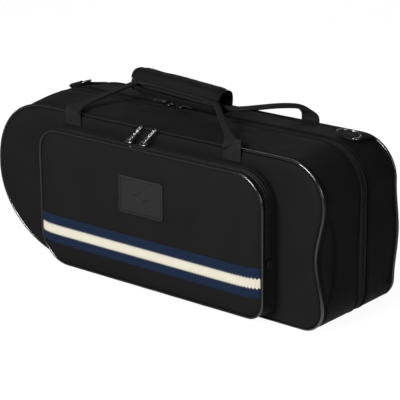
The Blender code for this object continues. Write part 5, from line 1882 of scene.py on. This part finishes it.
@dataclass
class ShoulderRings:
    """The two D-shaped rings and the webbing tabs that hold them to the rear seam."""

    places: tuple[tuple[str, float], ...] = (("left", 0.0560), ("right", 0.5120))
    wire: float = 0.0018
    half_width: float = 0.0155
    corner: float = 0.0042
    reach: float = 0.0220
    seat_depth: float = 0.0520
    tab_width: float = 0.0230
    tab_share: float = 0.34
    left_bend: float = 0.0850
    ply: float = 0.0011
    gap: float = 0.0003

    def build(self) -> None:
        """Makes both rings with their tabs."""
        for side, place in self.places:
            axes = self.axes(place)
            ring = self.ring()
            bmesh.ops.transform(ring, matrix=axes, verts=ring.verts)
            settle(f"shoulder_ring_{side}", ring, RING_METAL, f"d_ring_{side}", [f"d_ring_{side}"])
            tab = self.tab(SHAPE.top_corner if side == "right" else self.left_bend)
            bmesh.ops.transform(tab, matrix=axes, verts=tab.verts)
            settle(f"ring_tab_{side}", tab, WEBBING, Body.BASE, [f"d_tab_{side}"])

    def lift(self, share: float) -> float:
        """How far the rear side wall stands out at a share of its run."""
        return SHAPE.crown * rise_of(share)

    def run(self) -> tuple[float, float]:
        """The start of the rear side wall from its seam, and its length."""
        return SHAPE.seam, SHAPE.depth - SHAPE.front_depth - 0.008 - SHAPE.seam

    def seat_lift(self) -> float:
        """The wall's height under the ring's bar."""
        start, length = self.run()
        return self.lift((self.seat_depth - start) / length)

    def axes(self, place: float) -> Matrix:
        """The ring's frame: X along the shoulder, Y to the rear, Z out of the case.

        Args:
            place: the ring's place along X.

        Returns:
            The frame.
        """
        if place > SHAPE.length / 2:
            radius = SHAPE.top_corner
            off = place - SHAPE.length + radius
            rise = sqrt(radius**2 - off**2)
            height, slope = SHAPE.height - radius + rise, -off / rise
        else:
            upper = SHAPE.height - SHAPE.bell_height
            share = (SHAPE.upper_reach - place) / SHAPE.upper_reach
            drop = 1 - share**SHAPE.fullness
            height = SHAPE.bell_height + upper * drop ** (1 / SHAPE.fullness)
            slope = upper / SHAPE.upper_reach * share ** (SHAPE.fullness - 1) * drop ** (1 / SHAPE.fullness - 1)
        along = Vector((1, 0, slope)).normalized()
        out = Vector((-along.z, 0, along.x))
        lift = self.seat_lift() + self.gap + self.wire + self.gap + 0.0012
        point = Vector((place, SHAPE.depth - self.seat_depth, height)) + out * lift
        return Matrix.Translation(point) @ Matrix((along, (0, 1, 0), out)).transposed().to_4x4()

    def ring(self) -> bmesh.types.BMesh:
        """The round-cornered wire ring, its bar on the first axis."""
        half, corner = self.half_width, self.corner
        path = arc((-half + corner, corner), (corner, corner), 180, 270, 8)
        path += [(between(-half + corner, half - corner, step / 8), 0.0) for step in range(1, 8)]
        path += arc((half - corner, corner), (corner, corner), 270, 360, 8)
        bow = self.reach - corner - 0.0008
        path += arc((0.0, corner + 0.0008), (half, bow), 0, 180, 36)
        path.append(path[0])
        count = len(path) - 1

        def place(u: float, v: float) -> Vector:
            """A point on the wire's skin."""
            index = round(u * count)
            before, after = path[(index - 1) % count], path[(index + 1) % count]
            along = Vector((after[0] - before[0], after[1] - before[1], 0)).normalized()
            side = Vector((along.y, -along.x, 0))
            angle = 2 * pi * v
            x, y = path[index]
            return Vector((x, y, 0)) + side * (self.wire * cos(angle)) + Vector((0, 0, self.wire * sin(angle)))

        return wrap(count, 14, place)

    def tab(self, radius: float) -> bmesh.types.BMesh:
        """The folded webbing: along the wall, round the bar and back on top of itself, bent to the wall's radius.

        Args:
            radius: the radius that the wall has there.

        Returns:
            The mesh.
        """
        start, length = self.run()
        eye = self.wire + self.gap + self.ply / 2
        base = self.wire + self.gap + 0.0012
        lower, upper = [], []
        for step in range(13):
            share = step / 12 * self.tab_share
            along = self.seat_depth - start - length * share
            floor = self.lift(share) - self.seat_lift() - base + self.ply / 2 + 0.0001
            lower.append((along, floor))
            upper.append((along, floor + self.ply + 0.0002))
        bow = arc((0.0, 0.0), (eye, eye), -95, -330, 20)
        path = smooth_line([Vector((0.0, y, z)) for y, z in lower + bow + upper[::-1]])
        frames = steer(path, [Vector((1, 0, 0))] * len(path))
        section = both_faces([-1.0, -0.94, -0.7, -0.4, 0.0, 0.4, 0.7, 0.94, 1.0])

        def place(u: float, v: float) -> Vector:
            """A point on the webbing's skin."""
            middle, side, lift = frames[round(u * (len(frames) - 1))]
            across, face = section[round(v * (len(section) - 1))]
            edge = self.ply / 2 * (0.5 if abs(across) == 1.0 else 1.0)
            bend = (across * self.tab_width / 2) ** 2 / (2 * radius) * ease((middle.y - 0.002) / 0.006)
            return middle + side * (across * self.tab_width / 2) + lift * (face * edge) - Vector((0, 0, bend))

        return close_ends(wrap(len(frames) - 1, len(section) - 1, place, (run_of(path), 2 * self.tab_width)))


def smooth_line(points: list[Vector], rounds: int = 2) -> list[Vector]:
    """Evens out the bends of a line of points, with its ends kept."""
    for _ in range(rounds):
        inner = [(a + b * 2 + c) / 4 for a, b, c in zip(points, points[1:], points[2:])]
        points = [points[0], *inner, points[-1]]
    return points


# Zip sliders


@dataclass(frozen=True)
class PullShape:
    """The sizes of a slider's pull and of its eye."""

    waist: tuple[Point, Point] = ((0.42, 0.78), (0.62, 0.90))
    fullness: float = 0.86
    edge: float = 0.00035
    web: float = 0.0018
    tip: Point = (0.0030, 0.0016)
    length: float = 0.0250
    width: float = 0.0092
    thickness: float = 0.0018
    bar: float = 0.0013
    eye_length: float = 0.0062
    eye_width: float = 0.0054


@dataclass
class Slider:
    """A zip slider and its pull."""

    name: str
    place: tuple[float, float, float]
    finish: Finish
    heading: float
    lean: float
    length: float = 0.0120
    width: float = 0.0090
    thickness: float = 0.0022
    bridge_length: float = 0.0080
    bridge_width: float = 0.0018
    bridge_height: float = 0.0036
    bridge_bar: float = 0.0010
    gap: float = 0.0003
    pull: PullShape = field(default_factory=PullShape)

    def build(self) -> None:
        """Makes the slider and the pull that hangs in its bridge."""
        pull_name = self.name.replace("slider", "pull")
        settle(self.name + "_body", self.body(), self.finish, self.name, [self.name], 30.0)
        settle(pull_name + "_bar", self.pull_bar(), self.finish, pull_name, [pull_name], 30.0)

    def body(self) -> bmesh.types.BMesh:
        """The body, narrower towards its tail, with its bridge over the pull's bar."""
        bm = block((self.length, self.width, self.thickness), Vector((0, 0, self.thickness / 2)))
        long = [edge for edge in bm.edges if abs(edge.verts[0].co.x - edge.verts[1].co.x) > self.length / 2]
        bmesh.ops.subdivide_edges(bm, edges=long, cuts=3)
        for vert in bm.verts:
            share = abs(vert.co.x) / (self.length / 2)
            vert.co.y *= 1 - 0.22 * share**2 - (0.1 if vert.co.x > self.length * 0.3 else 0.0)
        round_off(bm, bm.edges[:], 0.0004, 2)
        join(bm, self.bridge())
        bmesh.ops.translate(bm, verts=bm.verts, vec=self.place)
        return bm

    def bridge(self) -> bmesh.types.BMesh:
        """The bridge, a round bar bent over in an arch."""
        half = self.bridge_length / 2 - self.bridge_bar / 2
        top = self.thickness + self.bridge_height - self.bridge_bar / 2
        foot = self.thickness - 0.0004
        bend = 0.0016
        path = [(-half, foot)] + arc((-half + bend, top - bend), (bend, bend), 180, 90, 6)
        path += arc((half - bend, top - bend), (bend, bend), 90, 0, 6) + [(half, foot)]
        points = [Vector((x, 0, z)) for x, z in path]
        frames = steer(points, [Vector((0, 1, 0))] * len(points))

        def place(u: float, v: float) -> Vector:
            """A point on the bridge's skin."""
            middle, side, lift = frames[round(u * (len(frames) - 1))]
            angle = 2 * pi * v
            wide = copysign(abs(cos(angle)) ** 0.6, cos(angle)) * self.bridge_width / 2
            high = copysign(abs(sin(angle)) ** 0.6, sin(angle)) * self.bridge_bar / 2
            return middle + side * wide + lift * high

        bm = close_ends(wrap(len(frames) - 1, 12, place))
        bmesh.ops.rotate(bm, verts=bm.verts, matrix=Matrix.Rotation(radians(self.heading), 3, "Z"))
        return bm

    def pull_bar(self) -> bmesh.types.BMesh:
        """The flat pull, with rounded edges, its eye and a second window."""
        shape = self.pull
        half, end, edge = shape.width / 2, shape.length, shape.edge
        side = [(-shape.bar / 2, half * shape.fullness), (shape.eye_length + shape.bar, half * shape.fullness)]
        side += [(end * along, half * across) for along, across in shape.waist]
        outer = [(x, -y) for x, y in side] + arc((end - half, 0.0), (half, half * shape.fullness), -90, 90, 12, 2.6)
        outer += side[::-1]
        near, eye = shape.bar / 2, shape.eye_width / 2
        window = [(near, -eye), (near + shape.eye_length, -eye), (near + shape.eye_length, eye), (near, eye)]
        start = near + shape.eye_length + shape.web
        hole = [(start, -eye * 0.8), (end - shape.tip[0], -eye * 0.6), (end - shape.tip[1], 0.0)]
        hole += [(x, -y) for x, y in hole[1::-1]]
        curve = bpy.data.curves.new(self.name + "_pull", "CURVE")
        curve.dimensions, curve.fill_mode = "2D", "BOTH"
        curve.extrude, curve.bevel_depth, curve.bevel_resolution = shape.thickness / 2 - edge, edge, 2
        curve.offset = -edge
        for points in (outer, window, hole):
            spline = curve.splines.new("POLY")
            spline.points.add(len(points) - 1)
            for point, (x, y) in zip(spline.points, points):
                point.co = (x, y, 0.0, 1.0)
            spline.use_cyclic_u = True
        bm = finished(bpy.data.objects.new("pull_guide", curve))
        bmesh.ops.remove_doubles(bm, verts=bm.verts, dist=CLOSE * 10)
        height = self.thickness + (self.gap + self.bridge_height - self.bridge_bar) / 2
        turn = Matrix.Rotation(radians(self.heading), 4, "Z") @ Matrix.Rotation(radians(-self.lean), 4, "Y")
        place = Matrix.Translation(Vector(self.place) + Vector((0, 0, height)))
        bmesh.ops.transform(bm, matrix=place @ turn, verts=bm.verts)
        return bm


def sliders() -> list[Slider]:
    """The four sliders, each in its place."""
    recess, tape, gap = 0.0006, 0.0010, 0.0003
    main_seat = SHAPE.height + SHAPE.crown - recess + tape + gap
    depth = -(POCKET.zip_back + POCKET.zip_front) / 2
    pocket_seat = POCKET.top + POCKET.flare(depth) + tape + gap
    return [
        Slider("main_slider_left", (0.240, SHAPE.front_depth, main_seat), GUNMETAL, 180, 0),
        Slider("main_slider_right", (0.260, SHAPE.front_depth, main_seat), GUNMETAL, 0, 0),
        Slider("pocket_slider_left", (0.259, depth, pocket_seat), NICKEL, 52, 46),
        Slider("pocket_slider_right", (0.283, depth, pocket_seat), NICKEL, 52, 46),
    ]


# The inside


@dataclass
class Padding:
    """The plush-covered padding inside, softened from the solids that it stands for."""

    voxel: float = 0.0022
    rounds: int = 6

    def build(self) -> None:
        """Makes the padding and the straps inside."""
        rows = (
            ("bell_cradle_plush", "bell_cradle", Body.BASE, PLUSH, 0.9),
            ("fitted_block_plush", "insert_block", Body.BASE, PLUSH, 0.9),
            ("lid_padding_plush", "lid_pad", Body.LID, PLUSH, 0.7),
            ("accessory_cover", "accessory_lid", "accessory_lid", PLUSH, 0.6),
        )
        for name, node, body, finish, fill in rows:
            voxel = self.voxel if fill > 0.65 else self.voxel / 3
            piece = self.soften(name, node, finish, body, voxel)
        self.soften("holding_band", "holding_strap", WEBBING, "holding_strap", 0.0005)

    def soften(self, name: str, node: str, finish: Finish, body: Body | str, voxel: float) -> bpy.types.Object:
        """Rounds a copy of a solid's mesh.

        Args:
            name: the new piece's name.
            node: the solid.
            finish: the piece's finish.
            body: the body it rides on.
            voxel: the size of the cells it is remade from.

        Returns:
            The piece.
        """
        bm = bmesh.new()
        bm.from_mesh(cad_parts[node].data)
        bmesh.ops.remove_doubles(bm, verts=bm.verts, dist=CLOSE * 10)
        mesh = bpy.data.meshes.new(name)
        bm.to_mesh(mesh)
        bm.free()
        holder = bpy.data.objects.new(name + "_raw", mesh)
        remesh = holder.modifiers.new("cells", "REMESH")
        remesh.mode, remesh.voxel_size = "VOXEL", voxel
        bm = finished(holder)
        for _ in range(self.rounds):
            bmesh.ops.smooth_vert(bm, verts=bm.verts, factor=0.5, use_axis_x=True, use_axis_y=True, use_axis_z=True)
        flat_cloth(bm)
        bmesh.ops.translate(bm, verts=bm.verts, vec=-CASE_ORIGIN)
        return settle(name, bm, finish, body, [node], 180.0)


# The studio


@dataclass(frozen=True)
class Lamp:
    """A soft square lamp that looks at the case."""

    name: str
    place: tuple[float, float, float]
    size: float
    power: float

    def build(self, target: Vector) -> None:
        """Hangs the lamp.

        Args:
            target: the point that the lamp is aimed at.
        """
        light = bpy.data.lights.new(self.name, "AREA")
        light.shape, light.size, light.energy = "SQUARE", self.size, self.power
        lamp = bpy.data.objects.new(self.name, light)
        lamp.location = self.place
        lamp.rotation_euler = (target - Vector(self.place)).to_track_quat("-Z", "Y").to_euler()
        bpy.context.scene.collection.objects.link(lamp)


@dataclass
class Studio:
    """The white floor, the lamps and the camera."""

    floor_size: float = 6.0
    floor_white: float = 0.92
    floor_seen: float = 0.88
    floor_mirrored: float = 0.80
    floor_glow: float = 1.07
    strip_heading: Point = (0.8, 0.6)
    strip_place: float = 0.20
    strip_sharpness: float = 45.0
    mirror_dark: float = 0.08
    mirror_bright: float = 0.75
    world: float = 0.20
    mirrored: float = 0.07
    camera_place: tuple[float, float, float] = (1.42499, -1.66462, 0.81371)
    camera_target: tuple[float, float, float] = (0.01809, 0.01928, 0.10274)
    camera_roll: float = -0.464
    lens: float = 155.61
    lamps: tuple[Lamp, ...] = (
        Lamp("key_lamp", (-0.12, -2.35, 1.15), 0.95, 78.0),
        Lamp("top_lamp", (-0.3, 0.2, 2.6), 1.0, 6.8),
        Lamp("back_lamp", (-1.35, 2.1, 1.1), 0.8, 2.6),
        Lamp("side_lamp", (2.4, -0.5, 1.0), 1.0, 12.5),
    )

    def build(self) -> None:
        """Makes the floor, the light and the camera."""
        scene = bpy.context.scene
        scene.view_settings.view_transform = "Standard"
        self.floor()
        world = bpy.data.worlds.new("studio_world")
        world.use_nodes = True
        scene.world = world
        tree = world.node_tree
        background = tree.nodes["Background"]
        path = tree.nodes.new("ShaderNodeLightPath")
        level = None
        for ray, strength in (("Is Glossy Ray", self.mirrored), ("Is Transmission Ray", 1.0), ("Is Camera Ray", 1.0)):
            mix = tree.nodes.new("ShaderNodeMix")
            tree.links.new(path.outputs[ray], mix.inputs[0])
            mix.inputs[2].default_value, mix.inputs[3].default_value = self.world, strength
            if level:
                tree.links.new(level, mix.inputs[2])
            level = mix.outputs[0]
        tree.links.new(level, background.inputs["Strength"])
        background.inputs["Color"].default_value = (1, 1, 1, 1)
        target = Vector(self.camera_target)
        for lamp in self.lamps:
            lamp.build(target)
        data = bpy.data.cameras.new("camera")
        data.lens, data.sensor_width, data.clip_start, data.clip_end = self.lens, 36.0, 0.05, 50.0
        camera = bpy.data.objects.new("camera", data)
        camera.location = self.camera_place
        turn = (target - Vector(self.camera_place)).to_track_quat("-Z", "Y").to_matrix()
        turn = turn @ Matrix.Rotation(radians(self.camera_roll), 3, "Z")
        camera.rotation_euler = turn.to_euler()
        scene.collection.objects.link(camera)
        scene.camera = camera

    def floor(self) -> None:
        """A white floor that shows the camera plain white outside the case's shadow."""
        bm = bmesh.new()
        bmesh.ops.create_grid(bm, x_segments=2, y_segments=2, size=self.floor_size)
        mesh = bpy.data.meshes.new("studio_floor")
        bm.to_mesh(mesh)
        bm.free()
        floor = bpy.data.objects.new("studio_floor", mesh)
        bpy.context.scene.collection.objects.link(floor)
        graph = Graph("studio_white")
        graph.set(Base_Color=(*[self.floor_white] * 3, 1.0), Roughness=0.95)
        path = graph.node("ShaderNodeLightPath")
        camera, glossy = (Field(graph, path.outputs[f"Is {kind} Ray"]) for kind in ("Camera", "Glossy"))
        seen = camera * self.floor_seen + glossy * self.floor_mirrored
        split = graph.node("ShaderNodeSeparateXYZ", None, {0: graph.object_place()})
        x, y = (Field(graph, split.outputs[axis]) for axis in (0, 1))
        # The floor glows only for reflections, dark grey with a brighter strip towards the camera: a painted reflection
        # that puts the line of light along the piping.
        away = x * self.strip_heading[0] + y * self.strip_heading[1] - self.strip_place
        strip = 1 - (away * away * self.strip_sharpness).spread(0.0, 1.0)
        shade = graph.colour(glossy, (1.0, 1.0, 1.0), [self.mirror_dark] * 3)
        shade = graph.colour(glossy * strip, shade, [self.mirror_bright] * 3)
        glow = graph.node("ShaderNodeEmission", None, {"Color": shade, "Strength": self.floor_glow})
        mix = graph.node("ShaderNodeMixShader", None, {0: seen})
        graph.tree.links.new(graph.shader.outputs[0], mix.inputs[1])
        graph.tree.links.new(glow.outputs[0], mix.inputs[2])
        graph.tree.links.new(mix.outputs[0], graph.tree.nodes["Material Output"].inputs["Surface"])
        mesh.materials.append(graph.material)
        floor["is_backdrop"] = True


def corners(box: Sequence[Vector]) -> list[list[float]]:
    """A box as plain lists of numbers."""
    return [[float(part) for part in corner] for corner in box]


def main() -> None:
    """Builds the case's looks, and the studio."""
    logging.basicConfig(level=logging.INFO, format="%(name)s: %(message)s")
    Studio().build()
    front_zip_edge, rear_zip_edge = SHAPE.front_depth - 0.008, SHAPE.front_depth + 0.008
    builders = [
        ShellHalf("front", Body.LID, 0.0, front_zip_edge),
        ShellHalf("rear", Body.BASE, SHAPE.depth, rear_zip_edge),
        MainZipper(),
        FrontPocket(),
        StripeBand(),
        BlankPatch(),
        CarryStraps(),
        Grip(),
        ShoulderRings(),
        *sliders(),
        Padding(),
    ]
    for builder in builders:
        builder.build()
    {"cad": corners(CAD_BOX), "visual": corners(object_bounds())}


if __name__ == "__main__":
    main()
